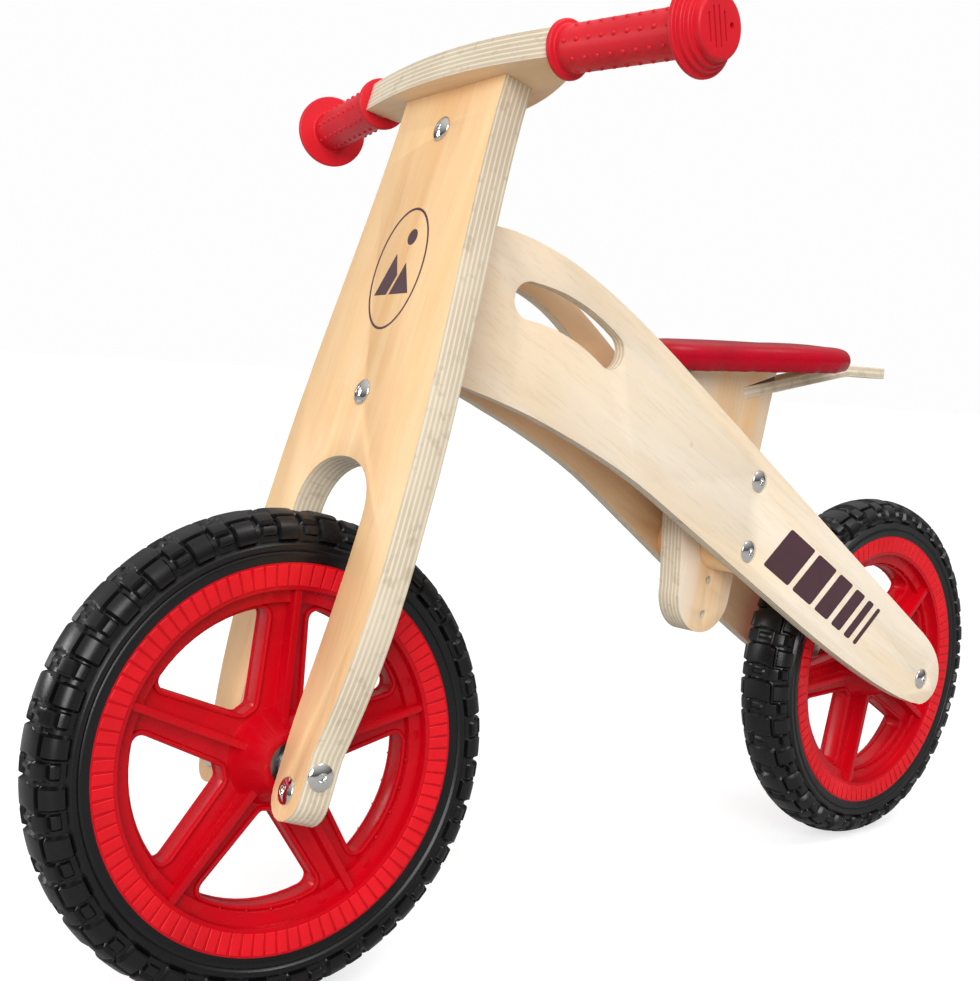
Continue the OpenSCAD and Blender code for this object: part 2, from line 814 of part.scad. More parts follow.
// Left half of the handlebar board's plan, from the middle of its front edge round to its back
function bar_half() = let (
    front = [fork_offset + bar_front, 0],
    back = [fork_offset - bar_back, 0],
    end = [fork_offset + grip_ahead, bar_board_half],
    across = bar_end_width / 2 * [cos(grip_sweep), sin(grip_sweep)]
) concat(
    [front],
    curve(front, front + [0, 35], end + across + [6, -32], end + across),
    curve(end - across, end - across + [-3, -11], back + [0, 48], back)
);

// Frame of the left grip: Z out along its axis from the end of the board
module grip_frame() {
    translate([fork_offset + grip_ahead, bar_board_half, plate_top + bar_thickness / 2])
        rotate([-90, 0, grip_sweep]) children();
}

module handlebar() {
    color("Wheat") front_end() difference() {
        union() {
            translate([0, 0, plate_top]) linear_extrude(bar_thickness)
                polygon(concat(bar_half(), [for (p = reversed(bar_half())) [p[0], -p[1]]]));
            both_sides() grip_frame() translate([0, 0, -6])
                cylinder(r = bar_end_radius, h = bar_end_length + 6, $fn = round_fn);
        }
        for (side = [-1, 1]) {
            translate([dowel_x, side * dowel_y, plate_top - 1])
                cylinder(r = dowel_radius, h = dowel_sink + 1, $fn = round_fn);
            translate([bar_screw_x, side * bar_screw_y, plate_top]) bar_screw_hole();
        }
    }
}

// Countersunk hole down through the handlebar board
module bar_screw_hole() {
    cone = bar_screw_head - bar_screw_radius;
    cylinder(r = bar_screw_radius, h = bar_thickness, $fn = round_fn);
    translate([0, 0, bar_thickness - cone])
        cylinder(r1 = bar_screw_radius, r2 = bar_screw_head, h = cone, $fn = round_fn);
}

module handlebar_screws() {
    color("Silver") front_end() for (side = [-1, 1]) translate([bar_screw_x, side * bar_screw_y, plate_top]) {
        bar_screw_hole();
        translate([0, 0, -bar_screw_depth]) cylinder(r = bar_screw_radius, h = bar_screw_depth, $fn = round_fn);
    }
}

module handlebar_dowels() {
    color("Tan") front_end() for (side = [-1, 1])
        translate([dowel_x, side * dowel_y, plate_top - dowel_grip])
            cylinder(r = dowel_radius, h = dowel_grip + dowel_sink, $fn = round_fn);
}

// Grip with its inner flange on Z = 0: a tube, three stepped safety rings and an end cap
module grip() {
    ring_radii = [grip_ring_radius, grip_ring_radius - 3, grip_ring_radius - 5.5];
    difference() {
        union() {
            cylinder(r = grip_flange_radius, h = grip_flange, $fn = round_fn);
            cylinder(r = grip_radius, h = ring_start, $fn = round_fn);
            for (i = [0:2]) translate([0, 0, ring_start + i * ring_depth])
                cylinder(r = ring_radii[i], h = ring_depth, $fn = round_fn);
            translate([0, 0, ring_stack]) cylinder(r = grip_ring_radius - 8, h = cap_depth, $fn = round_fn);
        }
        cylinder(r = bar_end_radius, h = bar_end_length, $fn = round_fn);
    }
}

module left_grip() {
    color("Red") front_end() grip_frame() grip();
}

module right_grip() {
    color("Red") front_end() mirror([0, 1, 0]) grip_frame() grip();
}

// ---------- wheels ----------

// Place of each wheel, with its axle along Y at the origin
module front_wheel_frame() {
    front_end() translate([fork_offset, 0, 0]) rotate([0, head_tilt, 0]) children();
}

module rear_wheel_frame() {
    translate([rear_x, 0, tyre_radius]) children();
}

// Solid of revolution about Y from a profile of radius across and half width up
module turned() {
    rotate([90, 0, 0]) rotate_extrude($fn = 2 * round_fn) children();
}

band_inner = rim_radius - rim_band;
band_dish = 1.6;
window_outer = band_inner - 10;
window_corner = 8;
shelf_inner = band_inner - 8;
shelf_half = web_thickness / 2 + 5;
tongue_half = 7;

// One face's half of the tyre's cross-section, from the rim to the crown
function tyre_half() = let (
    wide = tyre_width / 2,
    seat = rim_width / 2,
    shoulder = [tyre_radius - 12, wide - 1]
) concat(
    [[rim_radius, seat]],
    curve([rim_radius, seat], [rim_radius + 4, wide + 0.4], shoulder + [-7, 1], shoulder),
    curve(shoulder, shoulder + [7, -1], [tyre_radius, wide / 2], [tyre_radius, 0])
);

module tyre() {
    turned() difference() {
        polygon(concat(tyre_half(), [for (p = reversed(tyre_half())) [p[0], -p[1]]]));
        translate([0, -tongue_half]) square([rim_radius + rim_tongue, 2 * tongue_half]);
    }
}

// Half of the rim's cross-section: bearing pocket, hub cone, web, shelf, ridged band and tongue
function rim_half() = [
    [axle_radius + 1, hub_half - bearing_width],
    [bearing_radius, hub_half - bearing_width],
    [bearing_radius, hub_half],
    [hub_end_radius, hub_half],
    [hub_root_radius, web_thickness / 2],
    [shelf_inner, web_thickness / 2],
    [shelf_inner, shelf_half],
    [band_inner, shelf_half],
    [band_inner, rim_width / 2 - band_dish],
    [rim_radius, rim_width / 2],
    [rim_radius, tongue_half],
    [rim_radius + rim_tongue, tongue_half]
];

// Half of the window after the spoke along +X, from its inner end round to its outer end
function window_half(inner, outer, middle) = let (
    root = [sqrt(inner * inner - spoke_root * spoke_root / 4), spoke_root / 2],
    tip = [sqrt(outer * outer - spoke_tip * spoke_tip / 4), spoke_tip / 2],
    edge = (tip - root) / norm(tip - root),
    arc_start = atan2(tip[1], tip[0]) + window_corner / outer * 180 / PI,
    inner_mid = inner * [cos(middle), sin(middle)]
) concat(
    [inner_mid],
    curve(inner_mid, root, root, root + window_corner * edge),
    curve(tip - window_corner * edge, tip - window_corner / 3 * edge,
          outer * [cos(arc_start - 2), sin(arc_start - 2)], outer * [cos(arc_start), sin(arc_start)]),
    [for (i = [1:4]) let (a = between(arc_start, middle, i / 4)) outer * [cos(a), sin(a)]]
);

// Whole window, mirrored about its own middle line
function window_outline(middle) = let (
    half = window_half(hub_root_radius + 3, window_outer, middle)
) concat(half, [for (i = [len(half) - 2:-1:1]) let (p = half[i])
    [p[0] * cos(2 * middle) + p[1] * sin(2 * middle), p[0] * sin(2 * middle) - p[1] * cos(2 * middle)]]);

// Moulded rim: one turned body with windows cut between its spokes, and a rib over each spoke
module rim(first_spoke) {
    pitch = 360 / spoke_count;
    difference() {
        turned() polygon(concat(rim_half(), [for (p = reversed(rim_half())) [p[0], -p[1]]]));
        for (i = [0:spoke_count - 1]) rotate([0, -first_spoke - i * pitch, 0])
            across(-rim_width, rim_width) polygon(window_outline(pitch / 2));
    }
    for (i = [0:spoke_count - 1]) rotate([0, -first_spoke - i * pitch, 0]) rib();
}

// Raised centre rib of the spoke along +X
module rib() {
    thickness = 4.5;
    start = hub_end_radius + 4;
    across(-rib_depth / 2, rib_depth / 2) translate([start, -thickness / 2])
        square([band_inner + 3 - start, thickness]);
}

module bearings() {
    both_sides() axle_ring(bearing_radius, axle_radius + running_fit, hub_half - bearing_width, hub_half);
}

module front_rim() {
    color("Red") front_wheel_frame() rim(front_spoke_angle);
}

module front_tyre() {
    color("DimGray") front_wheel_frame() tyre();
}

module front_bearings() {
    color("Silver") front_wheel_frame() bearings();
}

module rear_rim() {
    color("Red") rear_wheel_frame() rim(rear_spoke_angle);
}

module rear_tyre() {
    color("DimGray") rear_wheel_frame() tyre();
}

module rear_bearings() {
    color("Silver") rear_wheel_frame() bearings();
}

module rear_axle_sleeve() {
    color("Silver") rear_wheel_frame() difference() {
        rod_y(axle_radius, 2 * (rear_inner - 1.2));
        rod_y(shank, 4 * rear_inner);
    }
}

module rear_axle_bolts() {
    p = [rear_x, tyre_radius];
    color("Silver") both_sides() translate([p[0], seat_of(p), p[1]]) rotate([-90, 0, 0]) bolt(panel_thickness + 20);
}

module rear_axle_spacers() {
    color("DimGray") both_sides() difference() {
        rear_wheel_frame() axle_ring(9, axle_radius, hub_half + face_gap, rear_half);
        head_frame() translate([0, 0, -reach]) linear_extrude(2 * reach) outside_of_inner_face();
    }
}

left_side_panel();
right_side_panel();
head_block();
upper_bush();
lower_bush();
seat_post();
seat_spacers();
seat_bolts();
seat_nuts();
saddle_base();
saddle_pad();
saddle_screws();
tail_board();
tail_wedge();
rear_axle_sleeve();
rear_axle_bolts();
rear_axle_spacers();
fork_plate();
upper_fork_block();
lower_fork_block();
fork_bolts();
fork_barrel_nuts();
steering_pin();
handlebar();
handlebar_screws();
handlebar_dowels();
left_grip();
right_grip();
front_axle_sleeve();
front_axle_bolts();
front_axle_spacers();
leg_bolts();
leg_nuts();
front_rim();
front_tyre();
front_bearings();
rear_rim();
rear_tyre();
rear_bearings();
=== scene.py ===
import math

import bpy
from mathutils import Matrix, Vector


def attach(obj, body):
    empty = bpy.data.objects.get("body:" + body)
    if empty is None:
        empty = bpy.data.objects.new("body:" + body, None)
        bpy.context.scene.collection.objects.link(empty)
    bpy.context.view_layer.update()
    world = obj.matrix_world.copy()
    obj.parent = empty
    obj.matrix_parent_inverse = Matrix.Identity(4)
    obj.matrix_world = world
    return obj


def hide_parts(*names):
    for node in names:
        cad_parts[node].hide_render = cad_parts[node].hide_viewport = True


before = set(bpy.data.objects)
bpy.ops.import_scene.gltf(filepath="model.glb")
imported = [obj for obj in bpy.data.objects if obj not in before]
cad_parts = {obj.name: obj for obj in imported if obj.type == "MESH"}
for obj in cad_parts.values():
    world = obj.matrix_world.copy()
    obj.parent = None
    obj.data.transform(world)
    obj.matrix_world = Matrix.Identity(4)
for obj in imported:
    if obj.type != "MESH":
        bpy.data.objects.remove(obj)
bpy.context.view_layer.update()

bl_info = {
    "name": "Balance bike",
    "version": (1, 0, 0),
    "blender": (4, 5, 0),
    "location": "3D View > Sidebar > Balance bike",
    "description": "Plywood balance bike with foam tyres, red wheels, safety grips and a padded saddle",
    "category": "Add Mesh",
}

MM = 0.001

# Frames of the head, the turned fork, the wheels and the saddle
HEAD_TILT = math.radians(16.8)
FORK_TURN = math.radians(8.1)
FORK_OFFSET = 26 * MM
HEAD = Matrix.Translation((0.280860, 0, 0.137485)) @ Matrix.Rotation(-HEAD_TILT, 4, "Y")
FRONT = HEAD @ Matrix.Rotation(-FORK_TURN, 4, "Z")
FRONT_WHEEL = FRONT @ Matrix.Translation((FORK_OFFSET, 0, 0)) @ Matrix.Rotation(HEAD_TILT, 4, "Y")
REAR_WHEEL = Matrix.Translation((-0.30575, 0, 0.145))
SADDLE = Matrix.Translation((-0.09915, 0, 0.39238)) @ Matrix.Rotation(math.radians(2.5), 4, "Y")

# Heights on the turned fork: the plate's face, and the bottom and top of the handlebar
PLATE_FACE = 35 * MM
BAR_LOW = 421 * MM
BAR_HIGH = 440 * MM

# Side panels behind the head, in millimetres: slope outwards, half gap and where it is measured
PANEL_NOSE = (0.1805, 11.3, 12.5)
PANEL_TAIL = (0.0806, 23.3, 79.0)

# Wheels, in millimetres, and a rim's spokes
TYRE_RADIUS = 145
BEAD_RADIUS = 115
SPOKES = 5

# Thickness of a layer of print, and how far it is sunk so that no gap shows
INK = 0.12 * MM
INK_SUNK = 0.02 * MM


# ---------- settings ----------

def size(name, description, value, **more):
    return bpy.props.FloatProperty(name=name, description=description, default=value, subtype="DISTANCE",
                                   unit="LENGTH", precision=5, **more)


def tint(name, description, value):
    return bpy.props.FloatVectorProperty(name=name, description=description, default=value, size=3,
                                         min=0, max=1, subtype="COLOR")


class BikeSizes(bpy.types.PropertyGroup):
    wood_easing: size("Wood easing", "Radius of the sanded edges of the plywood", 1.1 * MM)
    metal_easing: size("Metal easing", "Radius of the edges of bolts and nuts", 0.35 * MM)
    rim_easing: size("Rim easing", "Radius of the moulded edges of the rims", 1.1 * MM)
    tread_depth: size("Tread depth", "Depth of the tread's recesses", 2.8 * MM)
    tread_pitches: bpy.props.IntProperty(
        name="Tread pitches", description="Repeats of the tread round a tyre", default=31, min=20, max=50)
    band_ridges: bpy.props.IntProperty(
        name="Band ridges", description="Ridges round each face of a rim", default=90, min=40, max=120)
    dimple_radius: size("Dimple radius", "Radius of the raised dots on the grips", 1.6 * MM)
    pad_crown: size("Pad crown", "Rise of the saddle pad from its rim to its middle", 6 * MM)


class BikeColours(bpy.types.PropertyGroup):
    plate_pale: tint("Fork birch, pale", "Pale figure of the fork's face", (0.88, 0.575, 0.30))
    plate_warm: tint("Fork birch, warm", "Warm figure of the fork's face", (0.80, 0.455, 0.195))
    panel_pale: tint("Panel birch, pale", "Pale figure of the side panels", (0.85, 0.735, 0.59))
    panel_warm: tint("Panel birch, warm", "Warm figure of the side panels", (0.82, 0.655, 0.46))
    edge_pale: tint("Edge, pale ply", "Pale plies of the cut edges", (0.79, 0.69, 0.53))
    edge_dark: tint("Edge, dark ply", "Dark plies of the cut edges", (0.49, 0.40, 0.28))
    rim_red: tint("Rim red", "Moulded plastic of the rims", (0.56, 0.001, 0.008))
    band_red: tint("Band red", "Lighter ridged band of the rims", (0.74, 0.008, 0.016))
    grip_red: tint("Grip red", "Soft rubber of the grips", (0.70, 0.010, 0.022))
    vinyl_red: tint("Vinyl red", "Cover of the saddle", (0.42, 0.002, 0.014))
    foam: tint("Tyre foam", "Black foam of the tyres", (0.0035, 0.0035, 0.0042))
    print_purple: tint("Print", "Purple-brown print", (0.070, 0.026, 0.036))


def sizes():
    return bpy.context.scene.bike_sizes


def colours():
    return bpy.context.scene.bike_colours


# ---------- shader helpers ----------

def node(tree, kind, values=None, **settings):
    made = tree.nodes.new(kind)
    for key, value in settings.items():
        setattr(made, key, value)
    for key, value in (values or {}).items():
        if isinstance(value, bpy.types.NodeSocket):
            tree.links.new(value, made.inputs[key])
        else:
            made.inputs[key].default_value = value
    return made


def sum_of(tree, operation, first, second=0.0, third=0.0):
    return node(tree, "ShaderNodeMath", {0: first, 1: second, 2: third}, operation=operation).outputs[0]


def mixed(tree, factor, first, second, blend="MIX"):
    made = node(tree, "ShaderNodeMix", {"Factor": factor}, data_type="RGBA", blend_type=blend)
    for index, value in ((6, first), (7, second)):
        if isinstance(value, bpy.types.NodeSocket):
            tree.links.new(value, made.inputs[index])
        else:
            made.inputs[index].default_value = value
    return made.outputs[2]


def spread(tree, value, low, high, to_low=0.0, to_high=1.0):
    """A value eased from one range into another, and held at its ends."""
    values = {"Value": value, "From Min": low, "From Max": high, "To Min": to_low, "To Max": to_high}
    return node(tree, "ShaderNodeMapRange", values, interpolation_type="SMOOTHSTEP").outputs[0]


def noise(tree, vector, scale, detail=3.0, rough=0.55, distortion=0.0):
    values = {"Vector": vector, "Scale": scale, "Detail": detail, "Roughness": rough,
              "Distortion": distortion}
    return node(tree, "ShaderNodeTexNoise", values).outputs["Fac"]


def stretched(tree, vector, scale):
    return node(tree, "ShaderNodeMapping", {"Vector": vector, "Scale": scale}).outputs[0]


def solid(colour):
    return (*colour, 1.0)


def group(name, inputs, outputs):
    tree = bpy.data.node_groups.new(name, "ShaderNodeTree")
    for title, kind in inputs:
        tree.interface.new_socket(title, in_out="INPUT", socket_type=kind)
    for title, kind in outputs:
        tree.interface.new_socket(title, in_out="OUTPUT", socket_type=kind)
    return tree, tree.nodes.new("NodeGroupInput").outputs, tree.nodes.new("NodeGroupOutput").inputs


COLOUR, NUMBER, VECTOR = "NodeSocketColor", "NodeSocketFloat", "NodeSocketVector"


def wood_figure():
    """Rotary-cut veneer with its grain along X: slow figure, fine fibres and sparse pin knots."""
    name = "Veneer figure"
    if name in bpy.data.node_groups:
        return bpy.data.node_groups[name]
    inputs = [("Vector", VECTOR), ("Pale", COLOUR), ("Warm", COLOUR), ("Knots", NUMBER)]
    tree, given, out = group(name, inputs, [("Color", COLOUR), ("Height", NUMBER)])
    slow = stretched(tree, given["Vector"], (2.2, 17, 17))
    fine = stretched(tree, given["Vector"], (14, 420, 420))
    streaks = stretched(tree, given["Vector"], (9, 70, 70))
    figure = noise(tree, slow, 1.0, 4.0, 0.55, 0.9)
    fibres = noise(tree, fine, 1.0, 3.0, 0.6)
    wide = noise(tree, given["Vector"], 4.0, 2.0)
    warmth = sum_of(tree, "ADD", spread(tree, figure, 0.34, 0.68), spread(tree, wide, 0.3, 0.8, -0.25, 0.25))
    base = mixed(tree, warmth, given["Pale"], given["Warm"])
    pores = spread(tree, fibres, 0.30, 0.52)
    base = mixed(tree, spread(tree, pores, 0.0, 1.0, 0.08, 0.0), base, (0.25, 0.12, 0.05, 1))
    bright = spread(tree, noise(tree, streaks, 1.0, 2.0), 0.35, 0.75, 0.0, 0.22)
    base = mixed(tree, bright, base, (1.0, 0.93, 0.80, 1), "SOFT_LIGHT")
    dots = node(tree, "ShaderNodeTexVoronoi", {"Vector": given["Vector"], "Scale": 26.0}, feature="F1")
    knot = spread(tree, dots.outputs["Distance"], 0.03, 0.075, 1.0, 0.0)
    chance = node(tree, "ShaderNodeSeparateColor", {"Color": dots.outputs["Color"]}).outputs[0]
    rare = spread(tree, chance, 0.90, 0.93)
    knot = sum_of(tree, "MULTIPLY", sum_of(tree, "MULTIPLY", knot, rare), given["Knots"])
    tree.links.new(mixed(tree, knot, base, (0.16, 0.07, 0.03, 1)), out["Color"])
    tree.links.new(pores, out["Height"])
    return tree


def ply_layers():
    """Cut edge of plywood: plies along Depth, in millimetres, with glue lines, fibres and small voids
    darkened by painted shade.
    """
    name = "Ply layers"
    if name in bpy.data.node_groups:
        return bpy.data.node_groups[name]
    inputs = [("Depth", NUMBER), ("Vector", VECTOR), ("Pitch", NUMBER), ("Pale", COLOUR), ("Dark", COLOUR)]
    tree, given, out = group(name, inputs, [("Color", COLOUR), ("Height", NUMBER)])
    wander = spread(tree, noise(tree, given["Vector"], 22.0, 2.0), 0.25, 0.75, -0.16, 0.16)
    layer = sum_of(tree, "ADD", sum_of(tree, "DIVIDE", given["Depth"], given["Pitch"]), wander)
    across = sum_of(tree, "PINGPONG", layer, 1.0)
    blotch = noise(tree, given["Vector"], 60.0, 3.0)
    shade = sum_of(tree, "ADD", spread(tree, across, 0.32, 0.60), spread(tree, blotch, 0.3, 0.7, -0.35, 0.2))
    base = mixed(tree, sum_of(tree, "MULTIPLY", shade, 0.62), given["Pale"], given["Dark"])
    line = sum_of(tree, "ABSOLUTE", sum_of(tree, "SUBTRACT", across, 0.46))
    glue = spread(tree, line, 0.0, 0.075, 0.55, 0.0)
    glue_seen = sum_of(tree, "MULTIPLY", glue, spread(tree, blotch, 0.35, 0.65))
    base = mixed(tree, glue_seen, base, (0.20, 0.12, 0.06, 1))
    speck = noise(tree, given["Vector"], 520.0, 2.0)
    base = mixed(tree, spread(tree, speck, 0.30, 0.45, 0.22, 0.0), base, (0.24, 0.15, 0.08, 1))
    # Small voids, sunk in the bump and painted near black: a painted shade inside them.
    void = sum_of(tree, "MULTIPLY", spread(tree, noise(tree, given["Vector"], 34.0, 2.0), 0.70, 0.74),
                  spread(tree, across, 0.55, 0.8))
    void_shade = sum_of(tree, "MULTIPLY", void, 0.8)
    tree.links.new(mixed(tree, void_shade, base, (0.05, 0.03, 0.02, 1)), out["Color"])
    tree.links.new(sum_of(tree, "SUBTRACT", speck, sum_of(tree, "ADD", glue, void)), out["Height"])
    return tree


def handling_marks():
    """Faint smears and fine grit that vary a surface's gloss."""
    name = "Handling marks"
    if name in bpy.data.node_groups:
        return bpy.data.node_groups[name]
    tree, given, out = group(name, [("Vector", VECTOR), ("Low", NUMBER), ("High", NUMBER), ("Grit", NUMBER)],
                             [("Roughness", NUMBER), ("Height", NUMBER), ("Mask", NUMBER)])
    smear = noise(tree, given["Vector"], 24.0, 4.0, 0.6, 0.4)
    mask = spread(tree, smear, 0.32, 0.68)
    limits = {"Value": mask, "To Min": given["Low"], "To Max": given["High"]}
    tree.links.new(node(tree, "ShaderNodeMapRange", limits).outputs[0], out["Roughness"])
    tree.links.new(noise(tree, given["Vector"], given["Grit"], 2.0, 0.6), out["Height"])
    tree.links.new(mask, out["Mask"])
    return tree


def blank(name, **values):
    material = bpy.data.materials.new(name)
    material.use_nodes = True
    tree = material.node_tree
    tree.nodes.clear()
    shader = node(tree, "ShaderNodeBsdfPrincipled", values)
    node(tree, "ShaderNodeOutputMaterial", {"Surface": shader.outputs[0]})
    return material, tree, shader


def place_group(tree, made, values):
    placed = node(tree, "ShaderNodeGroup", node_tree=made)
    for key, value in values.items():
        if isinstance(value, bpy.types.NodeSocket):
            tree.links.new(value, placed.inputs[key])
        else:
            placed.inputs[key].default_value = value
    return placed.outputs


def bump(tree, height, strength, distance):
    values = {"Height": height, "Strength": strength, "Distance": distance}
    return node(tree, "ShaderNodeBump", values).outputs[0]


def dot_with(tree, vector, direction):
    values = {0: vector, 1: direction}
    return node(tree, "ShaderNodeVectorMath", values, operation="DOT_PRODUCT").outputs["Value"]


def plywood(name, pale, warm, grain, planes, facing, pitch, knots=1.0, face_of=0.75, inner=(1, 1, 1)):
    """Plywood whose plies lie parallel to the planes. A plane is (direction, offset in millimetres).

    Faces that look against the facing direction are multiplied by inner, a painted shade that darkens the
    shaded inner and under faces."""
    lacquer = {"Coat Weight": 0.12, "Coat Roughness": 0.35, "Specular IOR Level": 0.42}
    material, tree, shader = blank(name, **lacquer)
    where = node(tree, "ShaderNodeTexCoord").outputs
    deep = None
    for direction, offset in planes:
        along = dot_with(tree, where["Object"], Vector(direction) / MM)
        along = sum_of(tree, "ADD", along, offset)
        deep = along if deep is None else sum_of(tree, "MINIMUM", deep, along)
    x = Vector(grain).normalized()
    z = Vector(facing).normalized()
    y = z.cross(x).normalized()
    z = x.cross(y)
    turn = Matrix((x, y, z)).to_euler()
    own = node(tree, "ShaderNodeMapping", {"Vector": where["Object"], "Rotation": turn}).outputs[0]
    figure = place_group(tree, wood_figure(), {"Vector": own, "Pale": solid(pale), "Warm": solid(warm),
                                               "Knots": knots})
    drawn_out = stretched(tree, own, (0.22, 1, 0.22))
    layers = place_group(tree, ply_layers(), {"Depth": deep, "Vector": drawn_out, "Pitch": pitch,
                                              "Pale": solid(colours().edge_pale),
                                              "Dark": solid(colours().edge_dark)})
    aligned = dot_with(tree, where["Normal"], Vector(facing).normalized())
    face = spread(tree, sum_of(tree, "ABSOLUTE", aligned), face_of, face_of + 0.12)
    marks = place_group(tree, handling_marks(), {"Vector": where["Object"], "Low": 0.40, "High": 0.54,
                                                 "Grit": 900.0})
    # Painted shade: faces turned against the facing direction are darkened by the inner colour.
    wood = mixed(tree, spread(tree, aligned, -0.6, -0.4, 1.0, 0.0), figure["Color"],
                 mixed(tree, 1.0, figure["Color"], solid(inner), "MULTIPLY"))
    tree.links.new(mixed(tree, face, layers["Color"], wood), shader.inputs["Base Color"])
    rough = sum_of(tree, "ADD", marks["Roughness"], spread(tree, face, 0.0, 1.0, 0.14, 0.0))
    tree.links.new(rough, shader.inputs["Roughness"])
    heights = {"Factor": face, "A": layers["Height"], "B": figure["Height"]}
    height = node(tree, "ShaderNodeMix", heights).outputs[0]
    tree.links.new(bump(tree, height, 0.16, 0.00025), shader.inputs["Normal"])
    return material


def handled(tree, shader, where, colour, deeper, low, high, grit):
    """Lets handling marks vary a finish's colour, and its roughness from low to high."""
    marks = place_group(tree, handling_marks(), {"Vector": where, "Low": low, "High": high, "Grit": grit})
    darker = tuple(channel * deeper for channel in colour)
    tree.links.new(mixed(tree, marks["Mask"], solid(colour), solid(darker)), shader.inputs["Base Color"])
    tree.links.new(marks["Roughness"], shader.inputs["Roughness"])
    return marks


def moulded(name, colour, low, high, grit, depth, **values):
    """Moulded plastic, rubber or foam with faint flow marks."""
    material, tree, shader = blank(name, **values)
    where = node(tree, "ShaderNodeTexCoord").outputs["Object"]
    marks = handled(tree, shader, where, colour, 0.86, low, high, grit)
    tree.links.new(bump(tree, marks["Height"], 0.35, depth), shader.inputs["Normal"])
    return material


def metal(name, colour, low, high):
    """Plated or plain steel with faint smears."""
    material, tree, shader = blank(name, Metallic=1.0)
    where = node(tree, "ShaderNodeTexCoord").outputs["Object"]
    marks = handled(tree, shader, where, colour, 0.9, low, high, 1500.0)
    tree.links.new(bump(tree, marks["Height"], 0.1, 0.00003), shader.inputs["Normal"])
    return material


def vinyl():
    """Smooth saddle vinyl with a fine pebble grain."""
    material, tree, shader = blank("Saddle vinyl", **{"Specular IOR Level": 0.36, "IOR": 1.3})
    where = node(tree, "ShaderNodeTexCoord").outputs["Object"]
    handled(tree, shader, where, colours().vinyl_red, 0.82, 0.25, 0.33, 700.0)
    cells = node(tree, "ShaderNodeTexVoronoi", {"Vector": where, "Scale": 1100.0}, feature="DISTANCE_TO_EDGE")
    pebble = spread(tree, cells.outputs["Distance"], 0.0, 0.16)
    tree.links.new(bump(tree, pebble, 0.10, 0.0001), shader.inputs["Normal"])
    return material


def plane_at(direction, transform, height=0):
    """The plane through a frame's origin, raised by a height in millimetres."""
    return direction, -direction.dot(transform.translation) / MM - height


def panel_plywood(name):
    """Plywood of one side panel, whose plies follow its bend."""
    hand = 1 if name.endswith("left") else -1
    head_x = HEAD.to_3x3() @ Vector((1, 0, 0))
    planes = []
    for slope, half, start in (PANEL_NOSE, PANEL_TAIL):
        direction = -slope * head_x - Vector((0, hand, 0))
        planes.append((direction, half - slope * start + slope * head_x.dot(HEAD.translation) / MM))
    # inner is a painted shade that darkens each panel's inner face, between the panels.
    return plywood(name, colours().panel_pale, colours().panel_warm, (0.87, 0, 0.49), planes, (0, hand, 0),
                   1.5, 0.15, inner=(0.92, 0.76, 0.60))


def woods(name):
    """The other wooden finishes."""
    c = colours()
    side = Vector((0, 1, 0))
    front_x = FRONT.to_3x3() @ Vector((1, 0, 0))
    front_z = FRONT.to_3x3() @ Vector((0, 0, 1))
    head_z = (HEAD.to_3x3() @ Vector((1, 0, 0))).cross(side)
    post_grain = (-math.sin(math.radians(8)), 0, math.cos(math.radians(8)))
    saddle_up = (0.044, 0, 1)
    middle = [(side, 10)]
    tail_planes = [((-0.1736, 0, -0.9848), 350.2), ((0, 0, -1), 397.5)]
    solid_wood = (40.0, 0.3, -0.2)
    values = {
        "Fork plywood": (c.plate_pale, c.plate_warm, front_z, [plane_at(front_x, FRONT)], front_x, 1.66),
        # The handlebar's last colour is a painted shade that darkens its underside.
        "Handlebar plywood": (c.panel_pale, c.panel_warm, (0.14, 0.99, 0),
                              [plane_at(front_z, FRONT, BAR_LOW / MM)], front_z, 1.6, 1.0, 0.75,
                              (0.95, 0.78, 0.60)),
        "Post plywood": (c.panel_pale, c.plate_pale, post_grain, middle, side, 1.66),
        "Tail plywood": (c.panel_pale, c.panel_warm, (1, 0, 0), tail_planes, (0, 0, 1), 2.2),
        "Saddle plywood": (c.panel_pale, c.plate_warm, (1, 0, 0), [(saddle_up, -388)], saddle_up, 1.5),
        "Block wood": (c.plate_pale, c.plate_warm, head_z, middle, side, *solid_wood),
        # The tail wedge's near-black wood is a painted shade for the shadowed gap between the tail strip and
        # the saddle.
        "Painted shade wood": ((0.12, 0.055, 0.03), (0.07, 0.03, 0.017), (1, 0, 0.2), [((0, 0, 1), 0)], side,
                      *solid_wood),
    }
    return plywood(name, *values[name])


def soft_and_moulded(name):
    """The plastics, rubber, foam, nylon and ink: colour, roughness from and to, grit, depth and gloss."""
    c = colours()
    specular, scatter, radius = "Specular IOR Level", "Subsurface Weight", "Subsurface Scale"
    values = {
        "Rim plastic": (c.rim_red, 0.22, 0.34, 260.0, 0.00006, {specular: 0.22}),
        "Band plastic": (c.band_red, 0.36, 0.5, 900.0, 0.00006, {specular: 0.2}),
        "Grip rubber": (c.grip_red, 0.36, 0.48, 1400.0, 0.00008, {specular: 0.28}),
        "Tyre foam": (c.foam, 0.25, 0.40, 1100.0, 0.0001, {specular: 0.4}),
        "Nylon": ((0.72, 0.71, 0.66), 0.4, 0.5, 500.0, 0.00005, {scatter: 0.1, radius: 0.002}),
        "Printed ink": (c.print_purple, 0.45, 0.6, 1200.0, 0.00004, {}),
    }
    *basic, gloss = values[name]
    return moulded(name, *basic, **gloss)


METALS = {
    "Chrome": ((0.78, 0.77, 0.75), 0.05, 0.12),
    "Zinc steel": ((0.52, 0.52, 0.53), 0.26, 0.4),
    "Dark steel": ((0.16, 0.16, 0.17), 0.24, 0.36),
}


